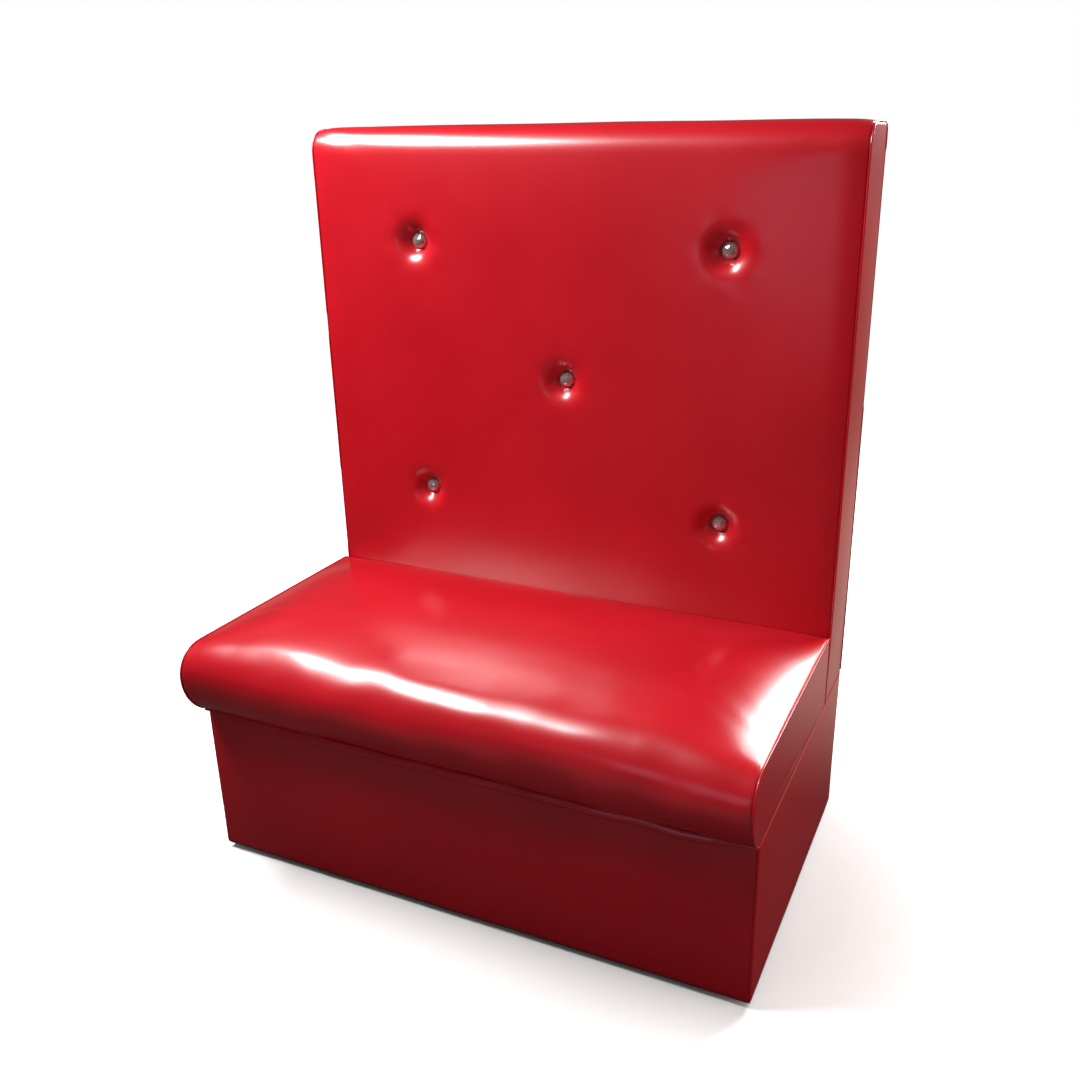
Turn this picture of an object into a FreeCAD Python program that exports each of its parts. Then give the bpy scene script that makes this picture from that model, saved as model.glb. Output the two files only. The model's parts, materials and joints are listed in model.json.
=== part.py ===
import FreeCAD, Part
import math
import os
import Sketcher

# Dining booth bench in millimetres. The floor is Z 0, the front faces -Y and the origin is the
# middle of the footprint.

DIMENSIONS = [
    ("overall_width", 1067, "over the side covers"),
    ("overall_depth", 670, "seat nose to rear lining"),
    ("overall_height", 1345, "floor to the top of the back"),
    ("back_depth", 150, "back face to rear lining"),
    ("base_height", 318, "floor to the top of the base box"),
    ("seat_edge_height", 457, "floor to the seat's end seams"),
    ("seat_crown", 36, "rise of the seat from its end seams to its middle"),
    ("seat_crown_run", 150, "back face to where the crown has risen"),
    ("seat_fall_run", 215, "seat nose to where the crown begins to fall"),
    ("seat_shoulder_run", 150, "end seam to where the crown has mostly risen"),
    ("seat_end_pull", 6, "how far the nose is drawn in at its ends"),
    ("seat_gap", 0.4, "between the seat and the back"),
    ("nose_overhang", 55, "seat nose in front of the base"),
    ("nose_radius", 55, "upper round of the seat nose"),
    ("nose_tuck", 48, "how far the nose turns back under itself"),
    ("vinyl", 1.2, "cover thickness"),
    ("wadding", 6, "padding under the base and side covers"),
    ("lining", 1, "rear lining thickness"),
    ("turn_in", 30, "cover turned in over an edge"),
    ("seam_radius", 7.2, "soft corners of the base"),
    ("board", 18, "base board thickness"),
    ("deck", 18, "seat deck thickness"),
    ("deck_end_gap", 6, "foam past the deck's ends"),
    ("deck_front_gap", 12, "deck behind the base's front face"),
    ("bearer", 45, "side of a bearer and a corner block"),
    ("cleat", 25, "side of a rear cleat"),
    ("post_width", 50, "back post across the bench"),
    ("rail_depth", 45, "back rail front to rear"),
    ("rail_height", 60, "back rail height"),
    ("back_board", 9, "back front board thickness"),
    ("back_foam", 45, "foam on the back's front"),
    ("top_foam", 25, "foam over the back's top"),
    ("roll_radius", 45, "front top round of the back"),
    ("rear_radius", 20, "rear top round of the back"),
    ("tuft_drop", 208, "top of the back to the upper buttons"),
    ("tuft_lift", 186, "seat edge to the lower buttons"),
    ("tuft_reach", 310, "middle button to an outer column"),
    ("tuft_radius", 70, "rim of a tuft"),
    ("tuft_floor", 17, "radius of a tuft's floor"),
    ("tuft_sink", 22, "depth of a tuft"),
    ("crystal_radius", 15, "crystal at its girdle"),
    ("crystal_table", 8.5, "crystal at its flat front"),
    ("crystal_rise", 9, "crystal from girdle to front"),
    ("cup_radius", 16.5, "button cup over its rim"),
    ("cup_depth", 4, "button cup front to rear"),
    ("cup_wall", 1, "button cup sheet"),
    ("twine_radius", 1.5, "button twine"),
    ("toggle_radius", 4, "dowel that the twine is tied to"),
    ("toggle_length", 36, "dowel length"),
    ("foot_height", 10, "floor to the base cover"),
    ("foot_radius", 15, "glide foot"),
    ("screw_radius", 2.5, "wood screw shank"),
    ("screw_head_radius", 5, "wood screw head"),
    ("screw_head_height", 2.5, "wood screw head"),
    ("rail_screw_length", 90, "screws into the rail ends"),
    ("seat_screw_length", 60, "screws up into the deck"),
    ("foot_screw_length", 30, "screws through the feet"),
    ("seat_screw_reach", 300, "seat screw from the middle"),
    ("bolt_radius", 4, "post bolt shank"),
    ("bolt_head_radius", 9, "post bolt head"),
    ("bolt_head_height", 5, "post bolt head"),
    ("bolt_past_nut", 3, "bolt end past its nut"),
    ("lower_bolt_height", 90, "floor to the lower post bolt"),
    ("upper_bolt_height", 240, "floor to the upper post bolt"),
    ("washer_side", 28, "square post washer"),
    ("washer", 2.5, "post washer thickness"),
    ("nut_radius", 7.5, "nut over its corners"),
    ("nut_height", 6.5, "nut thickness"),
    ("overrun", 10, "how far a cutting block runs past a face"),
]

SEAT_SHOULDER_SHARES = ((0, 0), (0.4, 0.58), (1, 0.97))
SEAT_NOSE_SHARE = 0.5
TUFT_FLANK_SHARES = (0, 0.6, 1)
REAR_SCREW_SHARE = 0.8
CRYSTAL_SIDES = 12
CUP_SIDES = 16
FASTENER_SIDES = 6
NUT_SIDES = 6
FULL_TURN = 360
NEAR = 0.01

doc = FreeCAD.newDocument("dining_bench")


class Size:
    """A length in millimetres together with the sheet formula that gives it."""

    def __init__(self, value, formula):
        self.value = value
        self.formula = formula

    def joined(self, sign, other, value):
        return Size(value, "(%s %s %s)" % (self.formula, sign, other.formula))

    def __add__(self, other):
        other = as_size(other)
        return self.joined("+", other, self.value + other.value)

    def __sub__(self, other):
        other = as_size(other)
        return self.joined("-", other, self.value - other.value)

    def __mul__(self, other):
        other = as_size(other)
        return self.joined("*", other, self.value * other.value)

    def __truediv__(self, other):
        other = as_size(other)
        return self.joined("/", other, self.value / other.value)

    def __neg__(self):
        return as_size(0) - self


def as_size(item):
    if isinstance(item, Size):
        return item
    return Size(float(item), "%.9f" % item)


def fill_sheet():
    """Writes the driving sizes into a sheet and returns each one by its alias."""
    sheet = doc.addObject("Spreadsheet::Sheet", "Sizes")
    named = {}
    for row, (alias, value, meaning) in enumerate(DIMENSIONS, 1):
        sheet.set("A%d" % row, alias)
        sheet.set("B%d" % row, str(value))
        sheet.set("C%d" % row, meaning)
        sheet.setAlias("B%d" % row, alias)
        named[alias] = Size(float(value), "Sizes.%s" % alias)
    doc.recompute()
    return named


D = fill_sheet()

# Planes that several pieces share.
half = D["overall_width"] / 2
rear = D["overall_depth"] / 2
nose = -rear
back_face = rear - D["back_depth"]
base_front = nose + D["nose_overhang"]
cover_rear = rear - D["lining"]
frame_rear = cover_rear - D["vinyl"]
skin_side = half - D["vinyl"]
board_side = skin_side - D["wadding"]
board_inside = board_side - D["board"]
board_front = base_front + D["vinyl"] + D["wadding"]
front_inside = board_front + D["board"]
board_bottom = D["foot_height"] + D["vinyl"]
board_top = D["base_height"] - D["vinyl"]
post_inside = board_side - D["post_width"]
foam_rear = back_face + D["vinyl"] + D["back_foam"]
post_front = foam_rear + D["back_board"]
post_middle = (post_front + frame_rear) / 2
frame_top = D["overall_height"] - D["vinyl"] - D["top_foam"]
rear_board_inside = frame_rear - D["board"]
rear_bearer_front = back_face - D["bearer"]
bearer_bottom = board_top - D["bearer"]
deck_bottom = D["base_height"] + D["vinyl"]
deck_top = deck_bottom + D["deck"]
seat_rear = back_face - D["seat_gap"]
overrun = D["overrun"]
upper_row = D["overall_height"] - D["tuft_drop"]
lower_row = D["seat_edge_height"] + D["tuft_lift"]
middle_row = (upper_row + lower_row) / 2

RAIL_BOTTOMS = {
    "back_bottom_rail": D["base_height"],
    "back_lower_rail": (middle_row + lower_row) / 2 - D["rail_height"] / 2,
    "back_upper_rail": (middle_row + upper_row) / 2 - D["rail_height"] / 2,
    "back_top_rail": frame_top - D["rail_height"],
}

TUFTS = [
    (-D["tuft_reach"], upper_row),
    (D["tuft_reach"], upper_row),
    (as_size(0), middle_row),
    (-D["tuft_reach"], lower_row),
    (D["tuft_reach"], lower_row),
]


# Drawing helpers.

def new_body(name):
    body = doc.addObject("PartDesign::Body", name)
    body.Label = name
    return body


def new_sketch(body, role, u=0, v=0, away=0):
    """A sketch on one of the body's own planes, moved along it and away from it."""
    plane = [item for item in body.Origin.OriginFeatures if item.Role == role][0]
    sketch = body.newObject("Sketcher::SketchObject", body.Name + "_sketch")
    sketch.AttachmentSupport = [(plane, "")]
    sketch.MapMode = "FlatFace"
    for axis, size in zip("xyz", (u, v, away)):
        sketch.setExpression("AttachmentOffset.Base." + axis, as_size(size).formula)
    return sketch


def hold(sketch, constraint, formula):
    index = sketch.addConstraint(constraint)
    sketch.setExpression("Constraints[%d]" % index, formula)


def pin_point(sketch, edge, end, point):
    """Holds one end of an edge at a place that the sheet gives."""
    for kind, size in zip(("DistanceX", "DistanceY"), point):
        hold(sketch, Sketcher.Constraint(kind, -1, 1, edge, end, size.value), size.formula)


def arc_through(start, end, radius):
    """An arc of under a half circle that turns left from start to end."""
    chord = end - start
    middle = start + chord * 0.5
    left = FreeCAD.Vector(-chord.y, chord.x, 0).normalize()
    centre = middle + left * math.sqrt(max(radius ** 2 - (chord.Length / 2) ** 2, 0))
    first = math.atan2(start.y - centre.y, start.x - centre.x)
    last = math.atan2(end.y - centre.y, end.x - centre.x)
    circle = Part.Circle(centre, FreeCAD.Vector(0, 0, 1), radius)
    return Part.ArcOfCircle(circle, first, last)


def draw_loop(sketch, corners):
    """Draws a closed outline; a corner with a radius and a side starts an arc that turns to that side."""
    points = [(as_size(corner[0]), as_size(corner[1])) for corner in corners]
    spots = [FreeCAD.Vector(u.value, v.value, 0) for u, v in points]
    ends = []
    for index, corner in enumerate(corners):
        start = spots[index]
        end = spots[(index + 1) % len(spots)]
        if len(corner) == 2:
            edge = sketch.addGeometry(Part.LineSegment(start, end))
            ends.append((edge, 1, 2))
            continue
        radius, turn = corner[2], corner[3]
        if turn == "left":
            edge = sketch.addGeometry(arc_through(start, end, radius.value))
            ends.append((edge, 1, 2))
        else:
            edge = sketch.addGeometry(arc_through(end, start, radius.value))
            ends.append((edge, 2, 1))
    for index, (edge, first, last) in enumerate(ends):
        follower = ends[(index + 1) % len(ends)]
        sketch.addConstraint(Sketcher.Constraint("Coincident", edge, last, follower[0], follower[1]))
    for index, (edge, first, last) in enumerate(ends):
        pin_point(sketch, edge, first, points[index])
        if len(corners[index]) > 2:
            radius = corners[index][2]
            hold(sketch, Sketcher.Constraint("Radius", edge, radius.value), radius.formula)


def draw_circle(sketch, radius):
    circle = Part.Circle(FreeCAD.Vector(0, 0, 0), FreeCAD.Vector(0, 0, 1), radius.value)
    edge = sketch.addGeometry(circle)
    sketch.addConstraint(Sketcher.Constraint("Coincident", edge, 3, -1, 1))
    hold(sketch, Sketcher.Constraint("Radius", edge, radius.value), radius.formula)


def rectangle(u0, u1, v0, v1):
    return [(u0, v0), (u1, v0), (u1, v1), (u0, v1)]


def polygon(sides, radius):
    angles = [2 * math.pi * step / sides for step in range(sides)]
    return [(radius * math.cos(angle), radius * math.sin(angle)) for angle in angles]


def add_pad(body, sketch, length):
    pad = body.newObject("PartDesign::Pad", body.Name + "_pad")
    pad.Profile = sketch
    pad.setExpression("Length", length.formula)
    sketch.Visibility = False
    return pad


def add_loft(body, kind, sketches, ruled):
    """A loft through sketches, added or cut away."""
    loft = body.newObject("PartDesign::" + kind, body.Name + "_loft")
    loft.Profile = sketches[0]
    loft.Sections = sketches[1:]
    loft.Ruled = ruled
    for sketch in sketches:
        sketch.Visibility = False
    return loft


def add_fillet(body, base, keep, radius):
    """Rounds the edges whose boxes pass a test."""
    doc.recompute()
    names = []
    for index, edge in enumerate(base.Shape.Edges, 1):
        if keep(edge.BoundBox):
            names.append("Edge%d" % index)
    fillet = body.newObject("PartDesign::Fillet", body.Name + "_round")
    fillet.Base = (base, names)
    fillet.setExpression("Radius", radius.formula)
    return fillet


def block(name, x, y, z):
    """A board or a cutting block between three pairs of planes."""
    body = new_body(name)
    sketch = new_sketch(body, "XY_Plane", away=z[0])
    draw_loop(sketch, rectangle(x[0], x[1], y[0], y[1]))
    add_pad(body, sketch, z[1] - z[0])
    return body


def turned_body(name, outline):
    """A piece turned about its own X axis; the outline is along X and out from it."""
    body = new_body(name)
    sketch = new_sketch(body, "XY_Plane")
    draw_loop(sketch, outline)
    turned = body.newObject("PartDesign::Revolution", name + "_turned")
    turned.Profile = sketch
    turned.ReferenceAxis = (sketch, ["H_Axis"])
    turned.Angle = FULL_TURN
    sketch.Visibility = False
    return body


def rod_body(name, steps):
    """A six-sided rod along X in steps, each with its start, end and radius."""
    body = new_body(name)
    for start, end, radius in steps:
        sketch = new_sketch(body, "YZ_Plane", away=start)
        draw_loop(sketch, polygon(FASTENER_SIDES, radius))
        add_pad(body, sketch, end - start)
    return body


def cut(name, base, *tools):
    """Cuts one or more tools from a piece, one after another."""
    for index, tool in enumerate(tools):
        last = index == len(tools) - 1
        result = doc.addObject("Part::Cut", name if last else name + "_step")
        result.Base = base
        result.Tool = tool
        base = result
    base.Label = name
    return base


def common(name, first, second):
    result = doc.addObject("Part::Common", name)
    result.Base = first
    result.Tool = second
    result.Label = name
    return result


def copies(name, master, places):
    """A group of links to one master, each at a place and turned the stated way."""
    links = []
    for place, turn in places:
        link = doc.addObject("App::Link", name + "_copy")
        link.LinkedObject = master
        link.LinkTransform = False
        link.Placement = FreeCAD.Placement(FreeCAD.Vector(0, 0, 0), turn)
        for axis, size in zip("xyz", place):
            link.setExpression("Placement.Base." + axis, as_size(size).formula)
        links.append(link)
    group = doc.addObject("Part::Compound", name)
    group.Links = links
    group.Label = name
    return group


ALONG_X = FreeCAD.Rotation()
AGAINST_X = FreeCAD.Rotation(FreeCAD.Vector(0, 0, 1), 180)
ALONG_Y = FreeCAD.Rotation(FreeCAD.Vector(0, 0, 1), 90)
ALONG_Z = FreeCAD.Rotation(FreeCAD.Vector(0, 1, 0), -90)


# Fasteners. Each lies along X with its head at the origin, and has few sides because it repeats.

def screw(name, length):
    head = (as_size(0), D["screw_head_height"], D["screw_head_radius"])
    shank = (as_size(0), length, D["screw_radius"])
    return rod_body(name, (head, shank))


def both_sides(places):
    """Places on the right, driven inward, and their mirror images on the left."""
    pairs = []
    for x, y, z in places:
        pairs.append(((x, y, z), AGAINST_X))
        pairs.append(((-x, y, z), ALONG_X))
    return pairs


def rail_screw_places():
    """One screw into each end of every back rail and bearer."""
    row = post_front + D["rail_depth"] / 2
    places = [(board_side, row, bottom + D["rail_height"] / 2) for bottom in RAIL_BOTTOMS.values()]
    bearer_row = bearer_bottom + D["bearer"] / 2
    places.append((board_side, front_inside + D["bearer"] / 2, bearer_row))
    places.append((board_side, rear_bearer_front + D["bearer"] / 2, bearer_row))
    return places


def seat_screw_places():
    """Up through the two bearers into the deck."""
    rows = (
        front_inside + D["bearer"] / 2,
        back_face - D["bearer"] * REAR_SCREW_SHARE,
    )
    return [
        ((x, y, bearer_bottom), ALONG_Z)
        for y in rows
        for x in (-D["seat_screw_reach"], D["seat_screw_reach"])
    ]


def foot_spots():
    foot_x = half - D["turn_in"] - D["foot_radius"] - D["vinyl"]
    front_y = base_front + D["turn_in"] + D["foot_radius"] + D["vinyl"]
    return [(x, y) for y in (front_y, post_middle) for x in (-foot_x, foot_x)]


def bolt_places():
    heights = (D["lower_bolt_height"], D["upper_bolt_height"])
    return [(board_side, post_middle, height) for height in heights]


def inside_places(gap):
    """Against the inner face of a post, a gap further in."""
    return [(post_inside - gap, y, z) for x, y, z in bolt_places()]


def bolt_body():
    grip = D["post_width"] + D["washer"] + D["nut_height"] + D["bolt_past_nut"]
    head = (as_size(0), D["bolt_head_height"], D["bolt_head_radius"])
    shank = (as_size(0), grip, D["bolt_radius"])
    return rod_body("post_bolt", (head, shank))


def holed_plate(name, outline, thickness):
    """A washer or a nut: an outline round the bolt's own hole."""
    body = new_body(name)
    sketch = new_sketch(body, "YZ_Plane")
    draw_loop(sketch, outline)
    draw_loop(sketch, polygon(FASTENER_SIDES, D["bolt_radius"]))
    add_pad(body, sketch, thickness)
    return body


def build_fasteners():
    groups = {}
    rail_screw = screw("rail_screw", D["rail_screw_length"])
    groups["rail_screws"] = copies("rail_screws", rail_screw, both_sides(rail_screw_places()))
    seat_screw = screw("seat_screw", D["seat_screw_length"])
    groups["seat_screws"] = copies("seat_screws", seat_screw, seat_screw_places())
    foot_screw = screw("foot_screw", D["foot_screw_length"])
    foot_places = [((x, y, D["screw_head_height"]), ALONG_Z) for x, y in foot_spots()]
    groups["foot_screws"] = copies("foot_screws", foot_screw, foot_places)

    groups["post_bolts"] = copies("post_bolts", bolt_body(), both_sides(bolt_places()))
    edge = D["washer_side"] / 2
    washer = holed_plate("post_washer", rectangle(-edge, edge, -edge, edge), D["washer"])
    groups["post_washers"] = copies("post_washers", washer, both_sides(inside_places(as_size(0))))
    nut = holed_plate("post_nut", polygon(NUT_SIDES, D["nut_radius"]), D["nut_height"])
    groups["post_nuts"] = copies("post_nuts", nut, both_sides(inside_places(D["washer"])))
    return groups


# Base box.

def build_base_frame(fasteners):
    pieces = []
    z = (board_bottom, board_top)
    sides = (("left", (-board_side, -board_inside)), ("right", (board_inside, board_side)))
    for side, x in sides:
        plain = block("base_%s_plain" % side, x, (front_inside, frame_rear), z)
        pieces.append(cut("base_%s_board" % side, plain, fasteners["rail_screws"], fasteners["post_bolts"]))
    pieces.append(block("base_front_board", (-board_side, board_side), (board_front, front_inside), z))
    rear_y = (rear_board_inside, frame_rear)
    pieces.append(block("base_rear_board", (-post_inside, post_inside), rear_y, z))
    pieces.append(build_divider())

    z = (bearer_bottom, board_top)
    bearers = (("front", front_inside), ("rear", rear_bearer_front))
    for side, y0 in bearers:
        plain = block("bearer_%s_plain" % side, (-board_inside, board_inside), (y0, y0 + D["bearer"]), z)
        pieces.append(cut("%s_bearer" % side, plain, fasteners["rail_screws"], fasteners["seat_screws"]))

    inner = board_inside - D["bearer"]
    y = (front_inside, front_inside + D["bearer"])
    z = (board_bottom, bearer_bottom)
    for side, x in (("left", (-board_inside, -inner)), ("right", (inner, board_inside))):
        plain = block("corner_%s_plain" % side, x, y, z)
        pieces.append(cut("%s_corner_block" % side, plain, fasteners["foot_screws"]))

    inner = post_inside - D["cleat"]
    y = (rear_board_inside - D["cleat"], rear_board_inside)
    z = (board_bottom, board_top)
    for side, x in (("left", (-post_inside, -inner)), ("right", (inner, post_inside))):
        plain = block("cleat_%s_plain" % side, x, y, z)
        pieces.append(cut("%s_rear_cleat" % side, plain, fasteners["post_washers"], fasteners["post_nuts"]))
    return pieces


def build_divider():
    """The middle board, notched for both bearers."""
    body = new_body("base_centre_divider")
    sketch = new_sketch(body, "YZ_Plane", away=-D["board"] / 2)
    front_notch = front_inside + D["bearer"]
    draw_loop(sketch, [
        (front_inside, board_bottom),
        (rear_board_inside, board_bottom),
        (rear_board_inside, board_top),
        (back_face, board_top),
        (back_face, bearer_bottom),
        (rear_bearer_front, bearer_bottom),
        (rear_bearer_front, board_top),
        (front_notch, board_top),
        (front_notch, bearer_bottom),
        (front_inside, bearer_bottom),
    ])
    add_pad(body, sketch, D["board"])
    return body


def build_feet(fasteners):
    """Round glides, each with a recess in its sole for the screw's head."""
    foot = turned_body("glide", rectangle(as_size(0), board_bottom, as_size(0), D["foot_radius"]))
    places = [((x, y, as_size(0)), ALONG_Z) for x, y in foot_spots()]
    recess = rod_body("glide_recess", ((-overrun, D["screw_head_height"], D["screw_head_radius"]),))
    recesses = copies("glide_recesses", recess, places)
    return cut("feet", copies("glides_plain", foot, places), recesses, fasteners["foot_screws"])


def soft_box(name, inset):
    """The base as a box with soft front corners and a soft top, drawn in by an inset."""
    body = new_body(name)
    bottom = D["foot_height"] + inset
    top = D["base_height"] - inset
    y = (base_front + inset, cover_rear - inset)
    sketch = new_sketch(body, "XY_Plane", away=bottom)
    draw_loop(sketch, rectangle(-half + inset, half - inset, y[0], y[1]))
    pad = add_pad(body, sketch, top - bottom)

    def keep(box):
        return box.ZMax > top.value - NEAR and box.YMin < y[1].value - NEAR

    add_fillet(body, pad, keep, D["seam_radius"] - inset)
    return body


def build_base_cover():
    """The sewn cover of the base and the padding under it."""
    outer = soft_box("base_outer", as_size(0))
    inner = soft_box("base_inner", D["vinyl"])
    below = -overrun
    above = D["base_height"] + overrun
    open_x = half - D["turn_in"]
    core = block("base_core", (-open_x, open_x), (base_front + D["turn_in"], rear + overrun), (below, above))
    under_back = block(
        "base_under_back", (-board_side, board_side), (back_face, frame_rear), (D["base_height"] / 2, above)
    )
    cover = cut("base_cover", outer, inner, core, under_back)
    boards = block(
        "base_boards", (-board_side, board_side), (board_front, frame_rear + overrun), (below, above)
    )
    return [cover, cut("base_padding", inner, boards)]


# Back.

def build_posts(fasteners):
    """Posts from the base's foot to the top, let in behind the side boards."""
    posts = []
    y = (post_front, frame_rear)
    for side, sign in (("left", -1), ("right", 1)):
        body = new_body("%s_post_plain" % side)
        sketch = new_sketch(body, "XY_Plane", away=board_bottom)
        draw_loop(sketch, rectangle(*ordered(post_inside * sign, board_side * sign), y[0], y[1]))
        add_pad(body, sketch, frame_top - board_bottom)
        x = ordered(board_inside * sign, (board_side + overrun) * sign)
        rebate = block(
            "%s_post_rebate" % side, x, (y[0] - overrun, y[1] + overrun), (as_size(0), board_top)
        )
        posts.append(cut(
            "%s_post" % side, body, rebate, fasteners["rail_screws"], fasteners["post_bolts"],
            fasteners["foot_screws"]
        ))
    return posts


def ordered(first, second):
    if first.value < second.value:
        return first, second
    return second, first


def build_back_frame(fasteners):
    pieces = build_posts(fasteners)
    x = (-post_inside, post_inside)
    for name, bottom in RAIL_BOTTOMS.items():
        y1 = frame_rear if name == "back_top_rail" else post_front + D["rail_depth"]
        plain = block(name + "_plain", x, (post_front, y1), (bottom, bottom + D["rail_height"]))
        pieces.append(cut(name, plain, fasteners["rail_screws"]))
    plain = block(
        "back_board_plain", (-board_side, board_side), (foam_rear, post_front), (D["base_height"], frame_top)
    )
    pieces.append(cut("back_front_board", plain, fasteners["tuft_twines"]))
    return pieces


def add_tufts(body, face):
    """Five dimples with rounded shoulders, one to each button."""
    run = D["tuft_radius"] - D["tuft_floor"]
    for x, z in TUFTS:
        rings = [(face - overrun, D["tuft_radius"])]
        for share in TUFT_FLANK_SHARES:
            rings.append((face + D["tuft_sink"] * share ** 2, D["tuft_radius"] - run * share))
        sketches = []
        for y, radius in rings:
            sketch = new_sketch(body, "XZ_Plane", u=x, v=z, away=-y)
            draw_circle(sketch, radius)
            sketches.append(sketch)
        add_loft(body, "SubtractiveLoft", sketches, True)


def back_form(name, inset):
    """The back's side outline with its rolled top, made as wide as the bench and tufted."""
    body = new_body(name)
    front = back_face + inset
    behind = cover_rear - inset
    top = D["overall_height"] - inset
    roll = D["roll_radius"] - inset
    turn = D["rear_radius"] - inset
    side = half - inset
    sketch = new_sketch(body, "YZ_Plane", away=-side)
    draw_loop(sketch, [
        (front, D["base_height"]),
        (behind, D["base_height"]),
        (behind, top - turn, turn, "left"),
        (behind - turn, top),
        (front + roll, top, roll, "left"),
        (front, top - roll),
    ])
    add_pad(body, sketch, side + side)
    add_tufts(body, front)
    return body


def build_back_soft(fasteners):
    """Cover, foam and side padding of the back, and the lining behind it."""
    outer = back_form("back_outer", as_size(0))
    inner = back_form("back_inner", D["vinyl"])
    open_x = half - D["turn_in"]
    open_top = D["overall_height"] - D["rear_radius"] - D["turn_in"]
    core = block("back_core", (-open_x, open_x), (post_middle, rear + overrun), (as_size(0), open_top))
    pieces = [cut("back_cover", outer, inner, core, fasteners["tuft_twines"])]

    wide = half + overrun
    behind = rear + overrun
    frame = block("back_frame_space", (-wide, wide), (foam_rear, behind), (as_size(0), frame_top))
    pieces.append(cut("back_foam", inner, frame, fasteners["tuft_twines"]))
    for side, x in (("left", (-wide, -board_side)), ("right", (board_side, wide))):
        space = block("back_%s_space" % side, x, (foam_rear, behind), (as_size(0), frame_top))
        pieces.append(common("back_%s_padding" % side, inner, space))

    lining_x = half - D["turn_in"] / 2
    lining_z = (board_bottom + D["vinyl"], D["overall_height"] - D["rear_radius"] - D["turn_in"] / 2)
    pieces.append(block("rear_lining", (-lining_x, lining_x), (cover_rear, rear), lining_z))
    return pieces


# Buttons. Each lies along X with its seat at the origin and its front towards -X.

def tuft_places():
    """A place on each tuft's floor, turned so that the button's front is the bench's front."""
    floor = back_face + D["tuft_sink"]
    return [((x, floor, z), ALONG_Y) for x, z in TUFTS]


def build_twines():
    """Twine from the button to the toggle behind the back board."""
    reach = post_front - back_face - D["tuft_sink"] + D["toggle_radius"]
    twine = rod_body("tuft_twine", ((as_size(0), reach, D["twine_radius"]),))
    return copies("tuft_twines", twine, tuft_places())


def build_buttons(twines):
    places = tuft_places()
    pieces = [copies("button_cups", cup_body(), places), copies("button_crystals", crystal_body(), places)]
    ends = D["toggle_length"] / 2
    toggle = rod_body("twine_toggle", ((-ends, ends, D["toggle_radius"]),))
    behind = post_front + D["toggle_radius"]
    toggles = copies("toggles_plain", toggle, [((x, behind, z), ALONG_X) for x, z in TUFTS])
    pieces.append(cut("twine_toggles", toggles, twines))
    return pieces


def cup_body():
    """A shallow sheet cup with a floor and a rim round the stone."""
    body = new_body("button_cup")
    sketch = new_sketch(body, "YZ_Plane", away=-D["cup_wall"])
    draw_loop(sketch, polygon(CUP_SIDES, D["cup_radius"]))
    add_pad(body, sketch, D["cup_wall"])
    sketch = new_sketch(body, "YZ_Plane", away=-D["cup_depth"])
    draw_loop(sketch, polygon(CUP_SIDES, D["cup_radius"]))
    draw_loop(sketch, polygon(CRYSTAL_SIDES, D["crystal_radius"]))
    add_pad(body, sketch, D["cup_depth"] - D["cup_wall"])
    return body


def crystal_body():
    """A faceted stone: a straight girdle in the cup and a tapered front with a flat table."""
    body = new_body("button_crystal")
    outlines = (
        (D["crystal_radius"], D["cup_wall"]),
        (D["crystal_radius"], D["cup_depth"]),
        (D["crystal_table"], D["cup_depth"] + D["crystal_rise"]),
    )
    sketches = []
    for radius, away in outlines:
        sketch = new_sketch(body, "YZ_Plane", away=-away)
        draw_loop(sketch, polygon(CRYSTAL_SIDES, radius))
        sketches.append(sketch)
    add_loft(body, "AdditiveLoft", sketches, True)
    return body


# Seat.

def seat_section(inset, rise, pull):
    """The seat's side outline: upright behind, crowned on top, falling to a bullnose and tucked under it."""
    bottom = D["base_height"] + inset
    edge = D["seat_edge_height"] - inset
    top = edge + rise
    nose_top = edge + rise * SEAT_NOSE_SHARE
    front = nose + pull + inset
    behind = seat_rear - inset
    upper = D["nose_radius"] - inset
    widest = nose_top - upper
    tuck = D["nose_tuck"] - inset / 2
    drop = widest - bottom
    lower = (tuck * tuck + drop * drop) / (tuck * 2)
    return [
        (behind, bottom),
        (behind, edge),
        (back_face - D["seat_crown_run"], top),
        (nose + D["seat_fall_run"], top),
        (front + upper, nose_top, upper, "left"),
        (front, widest, lower, "left"),
        (front + tuck, bottom),
    ]


def seat_form(name, inset):
    """The seat lofted across its width, with a crown in the middle and its ends drawn in."""
    body = new_body(name)
    crown = D["seat_crown"]
    pull = D["seat_end_pull"]
    end = half - inset
    run = D["seat_shoulder_run"]
    left = []
    for along, risen in SEAT_SHOULDER_SHARES:
        left.append((run * along - end, crown * risen, pull * (1 - risen)))
    right = [(-x, rise, drawn_in) for x, rise, drawn_in in reversed(left)]
    rises = left + [(as_size(0), crown, as_size(0))] + right
    sketches = []
    for x, rise, drawn_in in rises:
        sketch = new_sketch(body, "YZ_Plane", away=x)
        draw_loop(sketch, seat_section(inset, rise, drawn_in))
        sketches.append(sketch)
    add_loft(body, "AdditiveLoft", sketches, True)
    return body


def build_seat(fasteners):
    outer = seat_form("seat_outer", as_size(0))
    inner = seat_form("seat_inner", D["vinyl"])
    open_x = half - D["turn_in"]
    open_y = (nose + D["nose_tuck"] + D["turn_in"], seat_rear - D["turn_in"])
    core = block("seat_core", (-open_x, open_x), open_y, (as_size(0), deck_top))
    cover = cut("seat_cover", outer, inner, core)

    deck_x = skin_side - D["deck_end_gap"]
    deck_y = (base_front + D["deck_front_gap"], seat_rear - D["vinyl"])
    plain = block("deck_plain", (-deck_x, deck_x), deck_y, (deck_bottom, deck_top))
    deck = cut("seat_deck", plain, fasteners["seat_screws"])
    return [cover, cut("seat_foam", inner, plain, fasteners["seat_screws"]), deck]


# Whole bench.

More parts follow.
